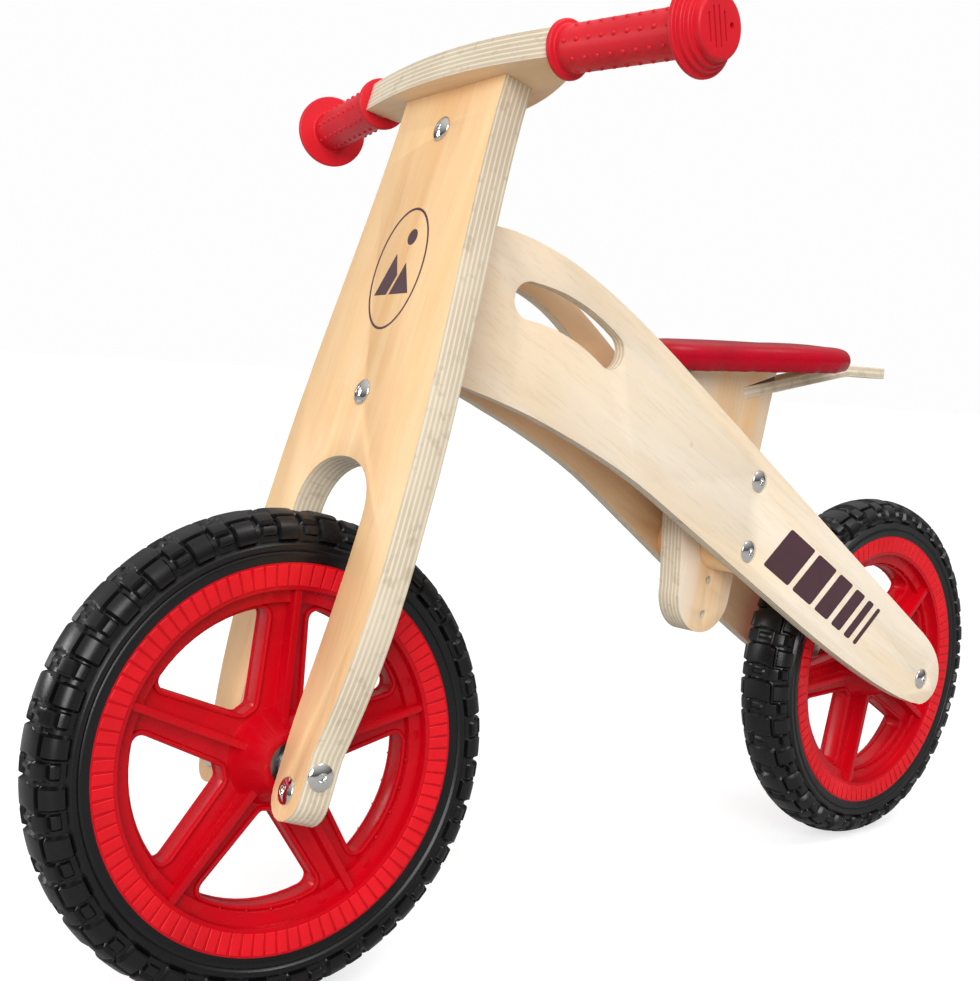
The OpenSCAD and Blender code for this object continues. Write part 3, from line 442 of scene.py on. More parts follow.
def finish(name):
    """The material of that name, made once."""
    if name in bpy.data.materials:
        return bpy.data.materials[name]
    if name.startswith("Side panel"):
        return panel_plywood(name)
    if name in METALS:
        return metal(name, *METALS[name])
    if name == "Saddle vinyl":
        return vinyl()
    if "wood" in name:
        return woods(name)
    return soft_and_moulded(name)


# ---------- mesh helpers ----------

def select_none():
    bpy.ops.object.select_all(action="DESELECT")


def alone(piece):
    if bpy.context.object and bpy.context.object.mode != "OBJECT":
        bpy.ops.object.mode_set(mode="OBJECT")
    select_none()
    piece.select_set(True)
    bpy.context.view_layer.objects.active = piece


def edit(piece):
    alone(piece)
    bpy.ops.object.mode_set(mode="EDIT")
    bpy.ops.mesh.select_all(action="SELECT")


def leave():
    bpy.ops.object.mode_set(mode="OBJECT")


def name_it(piece, name):
    piece.name = name
    piece.data.name = name
    return piece


def settle(piece, transform=None):
    """Bakes a piece's own place, and an extra transform, into its mesh."""
    matrix = piece.matrix_world.copy()
    if transform is not None:
        matrix = transform @ matrix
    piece.data.transform(matrix)
    piece.matrix_world = Matrix.Identity(4)
    return piece


def apply_modifier(piece, kind, **settings):
    alone(piece)
    made = piece.modifiers.new(kind, kind)
    for key, value in settings.items():
        setattr(made, key, value)
    bpy.ops.object.modifier_apply(modifier=made.name)


def smooth(piece, angle=32):
    alone(piece)
    bpy.ops.object.shade_smooth_by_angle(angle=math.radians(angle))


def paint(piece, *names):
    piece.data.materials.clear()
    for name in names:
        piece.data.materials.append(finish(name))


def twin(piece):
    """A copy of a piece with its own mesh."""
    copy = piece.copy()
    copy.data = piece.data.copy()
    bpy.context.collection.objects.link(copy)
    return copy


def face_out(piece):
    """Turns every face outwards."""
    edit(piece)
    bpy.ops.mesh.normals_make_consistent(inside=False)
    leave()


def join(name, pieces):
    alone(pieces[0])
    for piece in pieces:
        piece.select_set(True)
    bpy.ops.object.join()
    return name_it(bpy.context.object, name)


def hand_in(piece, body, slot, *nodes):
    """Puts a finished piece on its body, in place of the CAD nodes it stands for."""
    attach(piece, body)
    if nodes:
        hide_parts(*nodes)
    return piece


def eased(part, name, radius, steps=2, angle=30, weld=0.000004):
    """A welded copy of a CAD part with its sharp edges rounded."""
    piece = bpy.data.objects.new(name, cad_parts[part].data.copy())
    bpy.context.collection.objects.link(piece)
    name_it(piece, name)
    edit(piece)
    bpy.ops.mesh.remove_doubles(threshold=weld)
    bpy.ops.mesh.dissolve_limited(angle_limit=math.radians(0.4), delimit={"NORMAL"})
    leave()
    apply_modifier(piece, "BEVEL", width=radius, segments=steps, limit_method="ANGLE",
                   angle_limit=math.radians(angle), use_clamp_overlap=True, harden_normals=False)
    smooth(piece, 30)
    return piece


def dressed(part, name, material, body, slot, *easing):
    """Eases the edges of a CAD part, paints it and hands it in."""
    piece = eased(part, name, *easing)
    paint(piece, material)
    return hand_in(piece, body, slot, part)


def surface(name, across, up, place):
    """A grid laid over a surface: place(u, v) gives a point for u and v from 0 to 1."""
    select_none()
    bpy.ops.mesh.primitive_grid_add(x_subdivisions=across, y_subdivisions=up, size=2)
    piece = name_it(bpy.context.object, name)
    for vertex in piece.data.vertices:
        u, v = (vertex.co.x + 1) / 2, (vertex.co.y + 1) / 2
        vertex.co = place(u, v)
    return piece


def close_up(piece, threshold=0.00001):
    edit(piece)
    bpy.ops.mesh.remove_doubles(threshold=threshold)
    bpy.ops.mesh.normals_make_consistent(inside=False)
    leave()


def turned(name, profile, steps, axis=(0, 0, 1)):
    """A closed profile of (radius, height) points spun round the axis."""
    select_none()
    bpy.ops.mesh.primitive_circle_add(vertices=len(profile), radius=1, fill_type="NOTHING")
    piece = name_it(bpy.context.object, name)
    for vertex, (radius, height) in zip(piece.data.vertices, profile):
        vertex.co = (radius, 0, height)
    edit(piece)
    bpy.ops.mesh.spin(steps=steps, angle=2 * math.pi, center=(0, 0, 0), axis=axis)
    bpy.ops.mesh.select_all(action="SELECT")
    bpy.ops.mesh.remove_doubles(threshold=0.000005)
    bpy.ops.mesh.dissolve_degenerate(threshold=0.000001)
    bpy.ops.mesh.select_all(action="SELECT")
    bpy.ops.mesh.normals_make_consistent(inside=False)
    leave()
    return piece


def spun_copies(piece, count, axis=(0, 1, 0)):
    """Repeats a piece evenly round the axis."""
    edit(piece)
    bpy.ops.mesh.spin(steps=count - 1, dupli=True, angle=2 * math.pi * (count - 1) / count, center=(0, 0, 0),
                      axis=axis)
    leave()


def curve_point(a, b, c, d, t):
    k = 1 - t
    weights = (k ** 3, 3 * k * k * t, 3 * k * t * t, t ** 3)
    return tuple(sum(w * v for w, v in zip(weights, values)) for values in zip(a, b, c, d))


def rounded(points, radius, steps=4):
    """A closed outline with each corner rounded; radius is one number, or one for each corner."""
    out = []
    count = len(points)
    for i, corner in enumerate(points):
        cut = radius[i] if isinstance(radius, (list, tuple)) else radius
        corner = Vector(corner)
        back, ahead = Vector(points[i - 1]) - corner, Vector(points[(i + 1) % count]) - corner
        cut = min(cut, back.length * 0.48, ahead.length * 0.48)
        if cut <= 0:
            out.append(tuple(corner))
            continue
        start, end = corner + back.normalized() * cut, corner + ahead.normalized() * cut
        for k in range(steps + 1):
            t = k / steps
            out.append(tuple((1 - t) ** 2 * start + 2 * t * (1 - t) * corner + t * t * end))
    return out


def printed(name, outlines, thickness, transform):
    """Flat printed shapes, a hair thick, on the plane Z = 0 of the transform."""
    pieces = []
    for outline in outlines:
        select_none()
        bpy.ops.mesh.primitive_circle_add(vertices=len(outline), radius=1, fill_type="NGON")
        shape = bpy.context.object
        for vertex, point in zip(shape.data.vertices, outline):
            vertex.co = (point[0], point[1], 0)
        edit(shape)
        bpy.ops.mesh.extrude_region_move(TRANSFORM_OT_translate={"value": (0, 0, thickness)})
        bpy.ops.mesh.select_all(action="SELECT")
        bpy.ops.mesh.normals_make_consistent(inside=False)
        leave()
        pieces.append(shape)
    return settle(join(name, pieces), transform)


def ring_shape(outer, inner, steps, stretch):
    """An even oval ring round the origin, cut into two half outlines, so that each is a plain face."""
    high_outer = stretch * outer
    high_inner = high_outer - outer + inner
    halves = []
    for start in (0, math.pi):
        arc = [start + math.pi * k / (steps // 2) for k in range(steps // 2 + 1)]
        outside = [(outer * math.cos(a), high_outer * math.sin(a)) for a in arc]
        inside = [(inner * math.cos(a), high_inner * math.sin(a)) for a in reversed(arc)]
        halves.append(outside + inside)
    return halves


# ---------- stage ----------

class BikeStage(bpy.types.Operator):
    """Add the pale floor, the soft studio lights and the camera"""
    bl_idname = "bike.stage"
    bl_label = "Stage"

    def execute(self, context):
        select_none()
        bpy.ops.mesh.primitive_plane_add(size=80, location=(0, 0, -0.0006))
        floor = settle(name_it(bpy.context.object, "studio_floor"))
        material, tree, shader = blank("Studio floor", Roughness=0.8, **{"Specular IOR Level": 0.1})
        where = node(tree, "ShaderNodeTexCoord").outputs["Object"]
        tree.links.new(mixed(tree, noise(tree, where, 3.0), (0.44, 0.44, 0.44, 1), (0.46, 0.46, 0.46, 1)),
                       shader.inputs["Base Color"])
        seen = node(tree, "ShaderNodeLightPath").outputs["Is Camera Ray"]
        shader.inputs["Emission Color"].default_value = (1, 1, 1, 1)
        tree.links.new(sum_of(tree, "MULTIPLY", seen, 0.66), shader.inputs["Emission Strength"])
        floor.data.materials.append(material)
        world = bpy.data.worlds.new("Studio")
        world.use_nodes = True
        background = world.node_tree.nodes["Background"]
        sky = world.node_tree
        direction = node(sky, "ShaderNodeTexCoord").outputs["Generated"]
        up = node(sky, "ShaderNodeSeparateXYZ", {0: direction}).outputs[2]
        dome = spread(sky, up, 0.0, 0.85, 0.10, 0.74)
        seen = node(sky, "ShaderNodeLightPath").outputs["Is Camera Ray"]
        background.inputs["Color"].default_value = (1, 1, 1, 1)
        glow = node(sky, "ShaderNodeMix", {"Factor": seen, "A": dome, "B": 0.985}).outputs[0]
        sky.links.new(glow, background.inputs["Strength"])
        context.scene.world = world
        context.scene.view_settings.view_transform = "Standard"
        context.scene.view_settings.look = "None"
        for name, kind, place, width, power in (
                ("Key", "SUN", (0.66, 0.62, 0.40), math.radians(38), 2.52),
                ("Top", "AREA", (-0.5, 0.9, 2.2), 0.9, 14),
                ("Side", "AREA", (1.5, -1.7, 0.8), 0.6, 10)):
            light = bpy.data.lights.new(name, kind)
            light.energy = power
            if kind == "SUN":
                light.angle = width
            else:
                light.size = width
            lamp = bpy.data.objects.new(name, light)
            lamp.location = place
            lamp.rotation_euler = (-Vector(place)).to_track_quat("-Z", "Y").to_euler()
            context.collection.objects.link(lamp)
        camera = bpy.data.cameras.new("Camera")
        camera.sensor_width = 36
        camera.lens = 54.157
        camera.clip_start = 0.05
        eye = bpy.data.objects.new("Camera", camera)
        right = Vector((-0.7337, 0.6762, 0.0666)).normalized()
        back = Vector((0.6794, 0.7293, 0.0805)).normalized()
        up = back.cross(right).normalized()
        right = up.cross(back)
        turn = Matrix((right, up, back)).transposed().to_4x4()
        eye.matrix_world = Matrix.Translation((0.7997, 0.7039, 0.3777)) @ turn
        context.collection.objects.link(eye)
        context.scene.camera = eye
        return {"FINISHED"}


# ---------- wooden parts ----------

class BikePanels(bpy.types.Operator):
    """Finish both side panels and the head block between them"""
    bl_idname = "bike.panels"
    bl_label = "Side panels"

    def execute(self, context):
        soft, small = sizes().wood_easing, sizes().metal_easing
        for hand in ("left", "right"):
            part, name, material = f"{hand}_side_panel", f"{hand}_panel_board", f"Side panel {hand}"
            dressed(part, name, material, "frame", "birch_panel", soft)
        dressed("head_block", "head_block_wood", "Block wood", "frame", "hardwood", soft)
        for part in ("upper_bush", "lower_bush"):
            dressed(part, f"{part}_nylon", "Nylon", "frame", "nylon", small)
        return {"FINISHED"}


class BikeFork(bpy.types.Operator):
    """Finish the fork plate and its two blocks"""
    bl_idname = "bike.fork"
    bl_label = "Fork"

    def execute(self, context):
        soft = sizes().wood_easing
        dressed("fork_plate", "fork_board", "Fork plywood", "fork", "birch_plate", soft)
        for part in ("upper_fork_block", "lower_fork_block"):
            dressed(part, f"{part}_wood", "Block wood", "fork", "hardwood", soft)
        return {"FINISHED"}


class BikeHandlebar(bpy.types.Operator):
    """Finish the bowed handlebar board"""
    bl_idname = "bike.handlebar"
    bl_label = "Handlebar"

    def execute(self, context):
        dressed("handlebar", "handlebar_board", "Handlebar plywood", "fork", "birch_panel",
                1.6 * sizes().wood_easing, 3)
        return {"FINISHED"}


class BikeSeatPost(bpy.types.Operator):
    """Finish the seat post, its round spacers, the tail board and the saddle's base"""
    bl_idname = "bike.seat_post"
    bl_label = "Seat post"

    def execute(self, context):
        for part, name, material, slot in (
                ("seat_post", "seat_post_board", "Post plywood", "hardwood"),
                ("seat_spacers", "seat_spacer_discs", "Block wood", "hardwood"),
                ("tail_board", "tail_strip", "Tail plywood", "birch_panel"),
                # The tail wedge is painted near black, a painted shade under the saddle's rear.
                ("tail_wedge", "tail_wedge_block", "Painted shade wood", "dark_wood"),
                ("saddle_base", "saddle_base_board", "Saddle plywood", "hardwood")):
            dressed(part, name, material, "frame", slot, 0.8 * sizes().wood_easing)
        return {"FINISHED"}


# ---------- saddle ----------

def saddle_plan(steps):
    """Half outline of the saddle pad in millimetres, from its tail to its nose."""
    rear, nose, wide, narrow = -107.0, 107.0, 56.0, 31.0
    spans = (((rear, 0), (rear, 0.68 * wide), (rear + 20, wide), (rear + 56, wide)),
             ((rear + 56, wide), (rear + 100, wide), (nose - 100, narrow + 3), (nose - 45, narrow)),
             ((nose - 45, narrow), (nose - 16, narrow - 2), (nose, 0.6 * narrow), (nose, 0)))
    points = [spans[0][0]]
    for span in spans:
        points += [curve_point(*span, k / steps) for k in range(1, steps + 1)]
    return points


def even_loop(points, count):
    """Points of a closed outline, spaced evenly."""
    points = [Vector(p) for p in points]
    lengths = [(points[i] - points[i - 1]).length for i in range(1, len(points))]
    lengths.append((points[0] - points[-1]).length)
    total, out, i, run = sum(lengths), [], 0, 0.0
    for k in range(count):
        goal = total * k / count
        while run + lengths[i] < goal:
            run += lengths[i]
            i += 1
        t = (goal - run) / lengths[i]
        out.append(points[i].lerp(points[(i + 1) % len(points)], t))
    return out


def inward(loop, k):
    """Unit normal into an outline that runs clockwise from above."""
    ahead = loop[(k + 1) % len(loop)] - loop[k - 1]
    return Vector((ahead.y, -ahead.x)).normalized()


class BikeSaddle(bpy.types.Operator):
    """Model the padded vinyl saddle with its gathered edge"""
    bl_idname = "bike.saddle"
    bl_label = "Saddle"

    def execute(self, context):
        half = saddle_plan(14)
        loop = even_loop(half + [(x, -y) for x, y in reversed(half[1:-1])], 132)
        crown = sizes().pad_crown / MM
        # Rows of the cover from under the board out and up to its top edge: inset, height, share of gathers
        rows = [(15.4, 2.0, 0.0), (15.0, -0.6, 1.0), (10.5, -0.9, 1.0), (6.4, -0.7, 1.0)]
        rows += [(8.6 - 8.6 * math.cos(a), 8.2 + 9.6 * math.sin(a), 1.0)
                 for a in (math.radians(d) for d in (-62, -45, -30, -15, 0, 15, 30, 45, 60))]
        rows += [(6.2, 17.5, 0.0), (9.0, 18.3, 0.0)]
        fills = [0.90, 0.78, 0.64, 0.48, 0.32, 0.16, 0.0]
        centre_from, centre_to = -50.0, 74.0

        def place(u, v):
            k = round(u * len(loop)) % len(loop)
            row = round(v * (len(rows) + len(fills)))
            point, into = loop[k], inward(loop, k)
            middle = Vector((min(max(point.x, centre_from), centre_to), 0))
            ripple = math.sin(k * 2.05 + 1.3 * math.sin(k * 0.37)) * 0.5 + 0.35 * math.sin(k * 0.83)
            if row == 0:
                spot, height = middle, 5.0
            elif row <= len(rows):
                inset, height, gather = rows[row - 1]
                fade = max(0.0, 1 - (height - 2.0) / 8.0) * gather
                spot = point + into * (inset + 0.75 * ripple * fade)
                height += 0.35 * ripple * fade
            else:
                fill = fills[row - len(rows) - 1]
                spot = middle.lerp(point + into * 9.0, fill)
                height = 18.3 + (crown - 3.4) * (1 - fill ** 2.2)
            beside = min(max((abs(spot.y) - 13) / 12, 0.0), 1.0)
            if 0 < row <= 4:
                spot = spot + into * 1.2 * ripple
                height += 1.4 * (1 - beside)
            elif 4 < row < 12:
                height -= 2.2 * beside * (1 - (row - 4) / 8)
            thin = 1 - 0.26 * min(max((-60 - spot.x) / 40, 0.0), 1.0)
            height = 9.5 + (height - 9.5) * thin
            dish = -1.0 * math.exp(-((spot.x + 35) / 45) ** 2) * (0 if row <= len(rows) else 1)
            return SADDLE @ Vector((spot.x * MM, spot.y * MM, (height + dish) * MM))

        piece = surface("saddle_cushion", len(loop), len(rows) + len(fills), place)
        close_up(piece)
        apply_modifier(piece, "SUBSURF", levels=1, render_levels=1)
        alone(piece)
        bpy.ops.object.shade_smooth()
        paint(piece, "Saddle vinyl")
        hand_in(piece, "frame", "red_vinyl", "saddle_pad")
        staples = []
        for k in range(2, len(loop), 4):
            spot = loop[k] + inward(loop, k) * 11.5
            if abs(spot.y) > 16:
                along = loop[(k + 1) % len(loop)] - loop[k - 1]
                turn = math.atan2(along.y, along.x) + 0.3 * math.sin(k)
                staples.append(box((7.5, 0.8, 0.7), (spot.x, spot.y, -1.5), (0, 0, turn)))
        piece = settle(join("saddle_staples", staples), SADDLE)
        paint(piece, "Dark steel")
        hand_in(piece, "frame", "steel")
        return {"FINISHED"}


# ---------- grips ----------

def grip_profile():
    """Closed outline of a grip in metres: radius, then distance out from the flange."""
    outer = [(13.9, 0.0), (17.3, 0.0), (17.3, 3.5), (14.1, 3.9), (13.7, 5.2), (13.7, 94.4), (14.6, 95.9),
             (25.5, 95.9), (25.5, 99.1), (22.7, 99.3), (22.5, 102.3), (20.2, 102.5), (20.0, 105.5),
             (17.6, 105.7), (17.5, 111.0), (0.0, 111.0), (0.0, 108.0), (9.5, 108.0), (9.5, 0.0)]
    radii = [0, 1.2, 1.2, 0.6, 1.0, 1.0, 0.6, 1.1, 1.1, 0.5, 0.9, 0.5, 0.9, 0.5, 2.2, 0, 0, 0, 0]
    return [(r * MM, z * MM) for r, z in rounded(outer, radii, 4)]


class BikeGrips(bpy.types.Operator):
    """Model the soft grips with their dimples, safety rings and marked end caps"""
    bl_idname = "bike.grips"
    bl_label = "Grips"

    def execute(self, context):
        for hand, mirror in (("left", 1), ("right", -1)):
            grip = turned(f"{hand}_grip_body", grip_profile(), 72)
            cutters = []
            for k, reach in enumerate((7.5, 10.5, 10.5, 7.5)):
                select_none()
                bpy.ops.mesh.primitive_cube_add(size=1, location=((k - 2.2) * 4.2 * MM, 0, 111.2 * MM),
                                                scale=(1.1 * MM, 2 * reach * MM, 2.4 * MM))
                cutters.append(settle(bpy.context.object))
            select_none()
            bpy.ops.mesh.primitive_cylinder_add(vertices=20, radius=1.7 * MM, depth=5 * MM,
                                                location=(8.8 * MM, 0, 111 * MM))
            cutters.append(settle(bpy.context.object))
            for cutter in cutters:
                settle(cutter, Matrix.Rotation(math.radians(210), 4, "Z"))
                apply_modifier(grip, "BOOLEAN", operation="DIFFERENCE", object=cutter, solver="EXACT")
                bpy.data.objects.remove(cutter, do_unlink=True)
            radius = sizes().dimple_radius
            select_none()
            bpy.ops.mesh.primitive_uv_sphere_add(segments=8, ring_count=6, radius=radius,
                                                 location=(13.3 * MM, 0, 11 * MM))
            dot = settle(bpy.context.object)
            rows = []
            for row in range(8):
                for place in range(9):
                    copy = twin(dot)
                    lift = place * 9.4 * MM + (row % 2) * 4.7 * MM
                    copy.data.transform(Matrix.Rotation(row * math.pi / 4 + 0.2, 4, "Z")
                                        @ Matrix.Translation((0, 0, lift)))
                    rows.append(copy)
            bpy.data.objects.remove(dot, do_unlink=True)
            dots = join(f"{hand}_grip_dots", rows)
            piece = join(f"{hand}_safety_grip", [grip, dots])
            start = Matrix.Translation((28.5 * MM, 101 * MM, (BAR_LOW + BAR_HIGH) / 2))
            swept = Matrix.Rotation(math.radians(8.4), 4, "Z") @ Matrix.Rotation(math.radians(-90), 4, "X")
            settle(piece, FRONT @ Matrix.Scale(mirror, 4, (0, 1, 0)) @ start @ swept)
            face_out(piece)
            smooth(piece, 40)
            paint(piece, "Grip rubber")
            hand_in(piece, "fork", "red_rubber", f"{hand}_grip")
        return {"FINISHED"}


# ---------- wheels ----------

def tyre_section():
    """Stations from one bead over the crown to the other: (radius, half width, distance from the crown)."""
    top, shoulder, bead = (TYRE_RADIUS, 0), (TYRE_RADIUS - 12, 22), (BEAD_RADIUS, 20.2)
    over = (top, (TYRE_RADIUS, 11.5), (TYRE_RADIUS - 5, 21), shoulder)
    down = (shoulder, (TYRE_RADIUS - 19, 23), (BEAD_RADIUS + 4, 20.6), bead)
    crown = [curve_point(*over, k / 60) for k in range(61)]
    wall = [curve_point(*down, k / 40) for k in range(1, 41)]
    dense, far = crown + wall, [0.0]
    for k in range(1, len(dense)):
        far.append(far[-1] + math.dist(dense[k], dense[k - 1]))
    wanted = [k * 1.08 for k in range(32)] + [34.6, 35.8, 37.4, 38.4, 39.0, 39.8, 40.6, 42.2, far[-1]]
    half = []
    for goal in wanted:
        k = next((i for i in range(1, len(far)) if far[i] >= goal - 1e-6), len(far) - 1)
        t = (goal - far[k - 1]) / (far[k] - far[k - 1])
        point = [a + (b - a) * t for a, b in zip(dense[k - 1], dense[k])]
        along = Vector(dense[k]) - Vector(dense[k - 1])
        normal = Vector((along.y, -along.x)).normalized()
        half.append((point, normal, goal))
    back = [((r, -y), Vector((n.x, -n.y)), -s) for (r, y), n, s in half[:0:-1]]
    return back + half


def between(value, low, high, soft):
    """1 between low and high, 0 outside them, with soft ends."""
    def ramp(x):
        x = min(max(x, 0.0), 1.0)
        return x * x * (3 - 2 * x)
    return ramp((value - low + soft) / (2 * soft)) * (1 - ramp((value - high + soft) / (2 * soft)))


# Side blocks of the tread in millimetres: from and to along, from and to across, share of the depth
SIDE_BLOCKS = (
    (17.6, 27.8, 9.0, 19.4, 1.0),
    (2.0, 15.2, 15.6, 31.6, 1.0),
    (17.6, 26.6, 21.6, 28.4, 0.75),
)
BLOCK_EDGE = 0.6
CROWN_HALF = 13.6
BEYOND = 99


def tread(x, s, pitch):
    """How far the tread stands up, from 0 to 1, at x along one pitch and s across from the crown."""
    side = abs(s)
    if side > 34.0:
        return 1.0 - 0.35 * between(side, 38.2, 39.6, 0.5)
    bow = 2.6 * (1 - min(side / CROWN_HALF, 1.0) ** 2)
    on_crown = 1 - between(side, CROWN_HALF, BEYOND, BLOCK_EDGE)
    heights = [between(x + turn, 1.4 - bow, 18.0 - bow, 1.15) * on_crown for turn in (-pitch, 0.0, pitch)]
    heights.append(0.55 * between(x, 20.0, 23.6, 0.9) * (1 - between(side, 5.4, BEYOND, 0.8)))
    for start, end, inner, outer, share in SIDE_BLOCKS:
        heights.append(share * between(x, start, end, BLOCK_EDGE) * between(side, inner, outer, BLOCK_EDGE))
    heights.append(between(side, 33.4, BEYOND, BLOCK_EDGE))
    return max(heights)


class BikeTyres(bpy.types.Operator):
    """Model the foam tyres with their block tread"""
    bl_idname = "bike.tyres"
    bl_label = "Tyres"

    def execute(self, context):
        stations = tyre_section()
        pitches, depth = sizes().tread_pitches, sizes().tread_depth / MM
        length = 2 * math.pi * TYRE_RADIUS / pitches

        def place(u, v):
            k = round(v * len(stations)) % len(stations)
            (radius, y), normal, s = stations[k]
            sunk = depth * (1 - tread(u * length, s, length))
            radius, y = radius - normal.x * sunk, y - normal.y * sunk
            angle = u * 2 * math.pi / pitches
            return Vector((radius * math.cos(angle), y, -radius * math.sin(angle))) * MM

        for name, transform, body, part in (("front_foam_tyre", FRONT_WHEEL, "front_wheel", "front_tyre"),
                                            ("rear_foam_tyre", REAR_WHEEL, "rear_wheel", "rear_tyre")):
            piece = surface(name, 31, len(stations), place)
            spun_copies(piece, pitches)
            close_up(piece, 0.00002)
            settle(piece, transform)
            smooth(piece, 38)
            paint(piece, "Tyre foam")
            hand_in(piece, body, "black_foam", part)
        return {"FINISHED"}


def rim_window():
    """Outline of one window in millimetres, between the spokes at 0 and 72 degrees."""
    middle, inner, outer, corner = math.radians(36), 32.0, 89.0, 8.0
    root = Vector((math.sqrt(inner ** 2 - 225), 15))
    tip = Vector((math.sqrt(outer ** 2 - 12.5 ** 2), 12.5))
    edge = (tip - root).normalized()
    start = math.atan2(tip.y, tip.x) + corner / outer
    first = inner * Vector((math.cos(middle), math.sin(middle)))

    def on_rim(a):
        return outer * Vector((math.cos(a), math.sin(a)))

    half = [first]
    half += [Vector(curve_point(first, root, root, root + corner * edge, k / 8)) for k in range(1, 9)]
    half += [Vector(curve_point(tip - corner * edge, tip - corner / 3 * edge, on_rim(start - math.radians(2)),
                                on_rim(start), k / 8)) for k in range(9)]
    half += [on_rim(start + (middle - start) * k / 5) for k in range(1, 6)]
    c, s = math.cos(2 * middle), math.sin(2 * middle)
    return half + [Vector((p.x * c + p.y * s, p.x * s - p.y * c)) for p in reversed(half[1:-1])]


def box(scale, place, turn=(0, 0, 0), round_off=0.0, steps=1):
    select_none()
    bpy.ops.mesh.primitive_cube_add(size=1, location=Vector(place) * MM, rotation=turn,
                                    scale=Vector(scale) * MM)
    piece = settle(bpy.context.object)
    if round_off:
        edit(piece)
        bpy.ops.mesh.bevel(offset=round_off * MM, segments=steps, affect="EDGES")
        leave()
    return piece


def lip(outline, height, thickness):
    """A raised round lip along a window's edge."""
    made = bpy.data.curves.new("lip", "CURVE")
    made.dimensions = "3D"
    made.bevel_depth = thickness * MM
    made.bevel_resolution = 2
    line = made.splines.new("POLY")
    line.points.add(len(outline) - 1)
    line.use_cyclic_u = True
    for k, point in enumerate(outline):
        into = inward([Vector((p.x, p.y)) for p in outline], k)
        spot = point + into * 0.9
        line.points[k].co = (spot.x * MM, height * MM, -spot.y * MM, 1)
    piece = bpy.data.objects.new("lip", made)
    bpy.context.collection.objects.link(piece)
    alone(piece)
    bpy.ops.object.convert(target="MESH")
    return bpy.context.object


class BikeRims(bpy.types.Operator):
    """Model the spoked rims with their ridged bands, lipped windows and moulding marks"""
    bl_idname = "bike.rims"
    bl_label = "Rims"

    def execute(self, context):
        for where, transform, body, phase in (("front", FRONT_WHEEL, "front_wheel", 22.9),
                                              ("rear", REAR_WHEEL, "rear_wheel", 67.4)):
            rim = eased(f"{where}_rim", f"{where}_rim_body", sizes().rim_easing)
            ridge = box((12.6, 0.9, 6.2), (107.6, 19.52, 0), (0, 0, math.radians(5.7)))
            for vertex in ridge.data.vertices:
                if vertex.co.y > 19.4 * MM:
                    vertex.co.y += 0.32 * MM if vertex.co.z > 0 else -0.12 * MM
            edit(ridge)
            bpy.ops.mesh.bevel(offset=0.3 * MM, segments=1, affect="EDGES")
            leave()
            spun_copies(ridge, sizes().band_ridges)
            details = []
            outline = rim_window()
            for side in (-1, 1):
                small = [lip(outline, side * 7.0, 1.7)]
                for a in (20, 31, 41, 52):
                    small.append(box((4.4, 1.6, 1.3), (0, 0, 0), (0, 0, 0), 0.3))
                    turn = Matrix.Rotation(math.radians(-a), 4, "Y")
                    settle(small[-1], turn @ Matrix.Translation((92.0 * MM, side * 10.6 * MM, 0)))
                for a in (10.5, 61.5):
                    select_none()
                    bpy.ops.mesh.primitive_cylinder_add(vertices=24, radius=3.3 * MM, depth=0.5 * MM,
                                                        rotation=(math.radians(90), 0, 0))
                    turn = Matrix.Rotation(math.radians(-a), 4, "Y")
                    small.append(settle(bpy.context.object,
                                        turn @ Matrix.Translation((94.8 * MM, side * 12.0 * MM, 0))))
                details += small
            marks = join(f"{where}_rim_marks", details)
            spun_copies(marks, SPOKES)
            settle(marks, Matrix.Rotation(math.radians(-phase), 4, "Y"))
            far_side = twin(ridge)
            far_side.data.transform(Matrix.Scale(-1, 4, (0, 1, 0)))
            ridges = join(f"{where}_band_ridges", [ridge, far_side])
            settle(ridges, transform)
            settle(marks, transform)
            face_out(ridges)
            smooth(ridges, 30)
            paint(ridges, "Band plastic")
            hand_in(ridges, body, "red_plastic")
            paint(rim, "Rim plastic")
            paint(marks, "Rim plastic")
            piece = join(f"{where}_moulded_rim", [rim, marks])
            smooth(piece, 32)
            hand_in(piece, body, "red_plastic", f"{where}_rim")
        return {"FINISHED"}


# ---------- hardware and print ----------

class BikeFasteners(bpy.types.Operator):
    """Finish the bolts, nuts, sleeves, spacers, bearings and screws"""
    bl_idname = "bike.fasteners"
    bl_label = "Fasteners"

    def execute(self, context):
        small = sizes().metal_easing
        for part, body in (("seat_bolts", "frame"), ("seat_nuts", "frame"), ("rear_axle_bolts", "frame"),
                           ("fork_bolts", "fork"), ("front_axle_bolts", "fork"), ("leg_bolts", "fork"),
                           ("leg_nuts", "fork")):
            dressed(part, f"{part}_plated", "Chrome", body, "chrome", small, 2, 40)
        for part, body, material in (("front_bearings", "front_wheel", "Dark steel"),
                                     ("rear_bearings", "rear_wheel", "Dark steel"),
                                     ("front_axle_spacers", "fork", "Zinc steel"),
                                     ("rear_axle_spacers", "frame", "Zinc steel")):
            dressed(part, f"{part}_steel", material, body, "steel", small, 2, 40)
        for part in ("saddle_screws", "rear_axle_sleeve", "fork_barrel_nuts", "steering_pin",
                     "handlebar_screws", "front_axle_sleeve"):
            paint(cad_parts[part], "Zinc steel")
        paint(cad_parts["handlebar_dowels"], "Block wood")
        return {"FINISHED"}


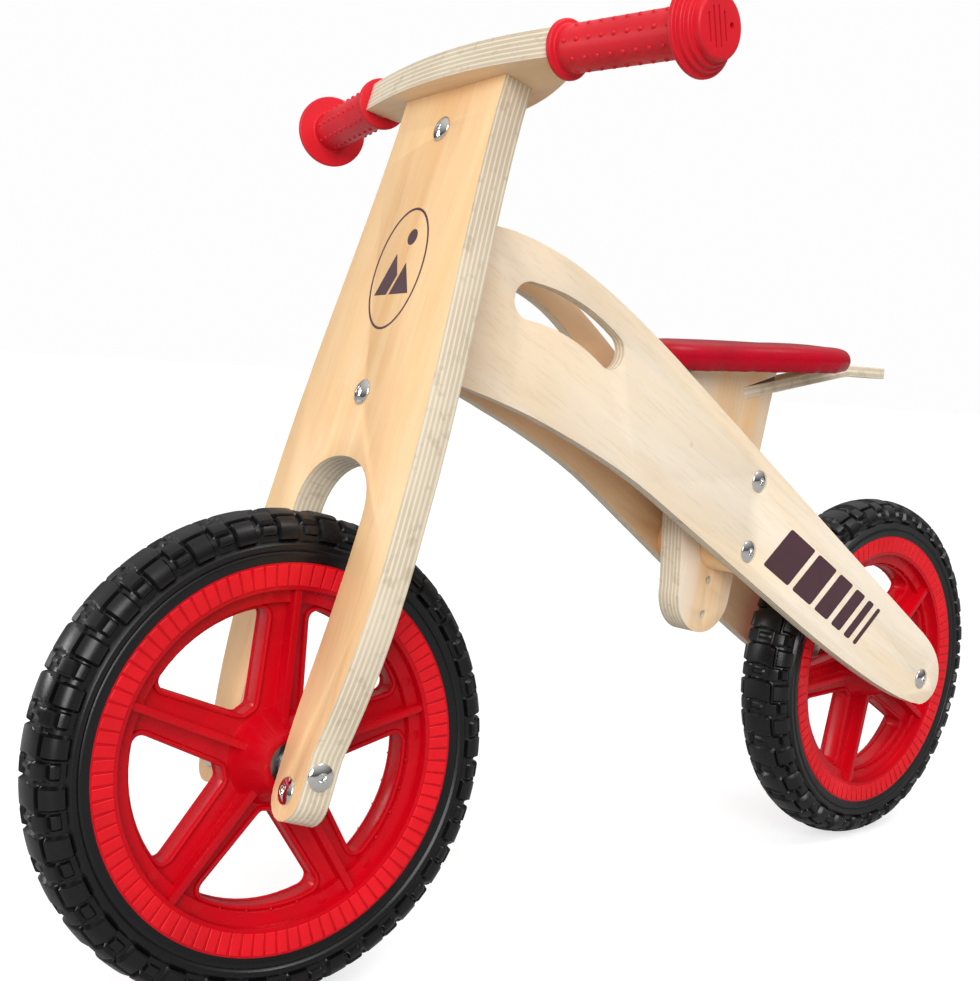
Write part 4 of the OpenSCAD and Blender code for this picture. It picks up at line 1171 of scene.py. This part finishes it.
class BikePrint(bpy.types.Operator):
    """Print plain generic shapes on the fork and the side panels"""
    bl_idname = "bike.print"
    bl_label = "Print"

    def execute(self, context):
        hills = [
            [(-19.5, -17), (-6.5, 10), (1.0, -4.5), (-5.5, -17)],
            [(-2.4, -17), (7.4, 3.2), (19.5, -17)],
        ]
        around = [math.radians(a) for a in range(0, 360, 12)]
        sun = [(6 + 5.2 * math.cos(a), 20 + 5.2 * math.sin(a)) for a in around]
        emblem = ring_shape(28.0, 26.4, 72, 1.42) + hills + [sun]
        emblem = [[(x * MM, y * MM) for x, y in shape] for shape in emblem]
        plate = FRONT @ Matrix.Translation((PLATE_FACE - INK_SUNK, -0.002, 0.302)) @ Matrix(
            ((0, 0, 1, 0), (1, 0, 0, 0), (0, 1, 0, 0), (0, 0, 0, 1)))
        piece = printed("fork_print", emblem, INK, plate)
        paint(piece, "Printed ink")
        hand_in(piece, "fork", "birch_plate")
        stripes = []
        run = 0.0
        for width in (34, 26, 19, 13, 8, 4.5):
            shape = [(run, -19), (run + width, -19), (run + width + 13, 19), (run + 13, 19)]
            stripes.append([(x * MM, y * MM) for x, y in rounded(shape, 2.2, 3)])
            run += width + 6
        slope, half, begin = PANEL_TAIL
        away, turn = 0.336, math.radians(-13.6)
        out = half * MM + slope * (away - begin * MM) - INK_SUNK
        for hand, mirror in (("left", 1), ("right", -1)):
            flat = (HEAD @ Matrix.Scale(mirror, 4, (0, 1, 0)) @ Matrix.Translation((-away, out, 0.2335))
                    @ Matrix.Rotation(-math.atan(slope), 4, "Z") @ Matrix.Rotation(turn, 4, "Y")
                    @ Matrix(((-1, 0, 0, 0), (0, 0, 1, 0), (0, 1, 0, 0), (0, 0, 0, 1))))
            piece = printed(f"{hand}_panel_print", stripes, INK, flat)
            face_out(piece)
            paint(piece, "Printed ink")
            hand_in(piece, "frame", "birch_panel")
        return {"FINISHED"}


class BikePanel(bpy.types.Panel):
    """Sidebar panel that lists the bike's pieces"""
    bl_idname = "VIEW3D_PT_bike"
    bl_label = "Balance bike"
    bl_space_type = "VIEW_3D"
    bl_region_type = "UI"
    bl_category = "Balance bike"

    def draw(self, context):
        for settings in (context.scene.bike_sizes, context.scene.bike_colours):
            column = self.layout.column(align=True)
            for key in settings.__annotations__:
                column.prop(settings, key)
        for step in STEPS:
            self.layout.operator(step.bl_idname)


STEPS = (BikeStage, BikePanels, BikeFork, BikeHandlebar, BikeSeatPost, BikeSaddle, BikeGrips, BikeTyres,
         BikeRims, BikeFasteners, BikePrint)


def register():
    for made in (BikeSizes, BikeColours, *STEPS, BikePanel):
        bpy.utils.register_class(made)
    bpy.types.Scene.bike_sizes = bpy.props.PointerProperty(type=BikeSizes)
    bpy.types.Scene.bike_colours = bpy.props.PointerProperty(type=BikeColours)


def unregister():
    del bpy.types.Scene.bike_colours
    del bpy.types.Scene.bike_sizes
    for made in reversed((BikeSizes, BikeColours, *STEPS, BikePanel)):
        bpy.utils.unregister_class(made)


def main():
    register()
    for step in STEPS:
        family, name = step.bl_idname.split(".")
        getattr(getattr(bpy.ops, family), name)()


if __name__ == "__main__":
    main()
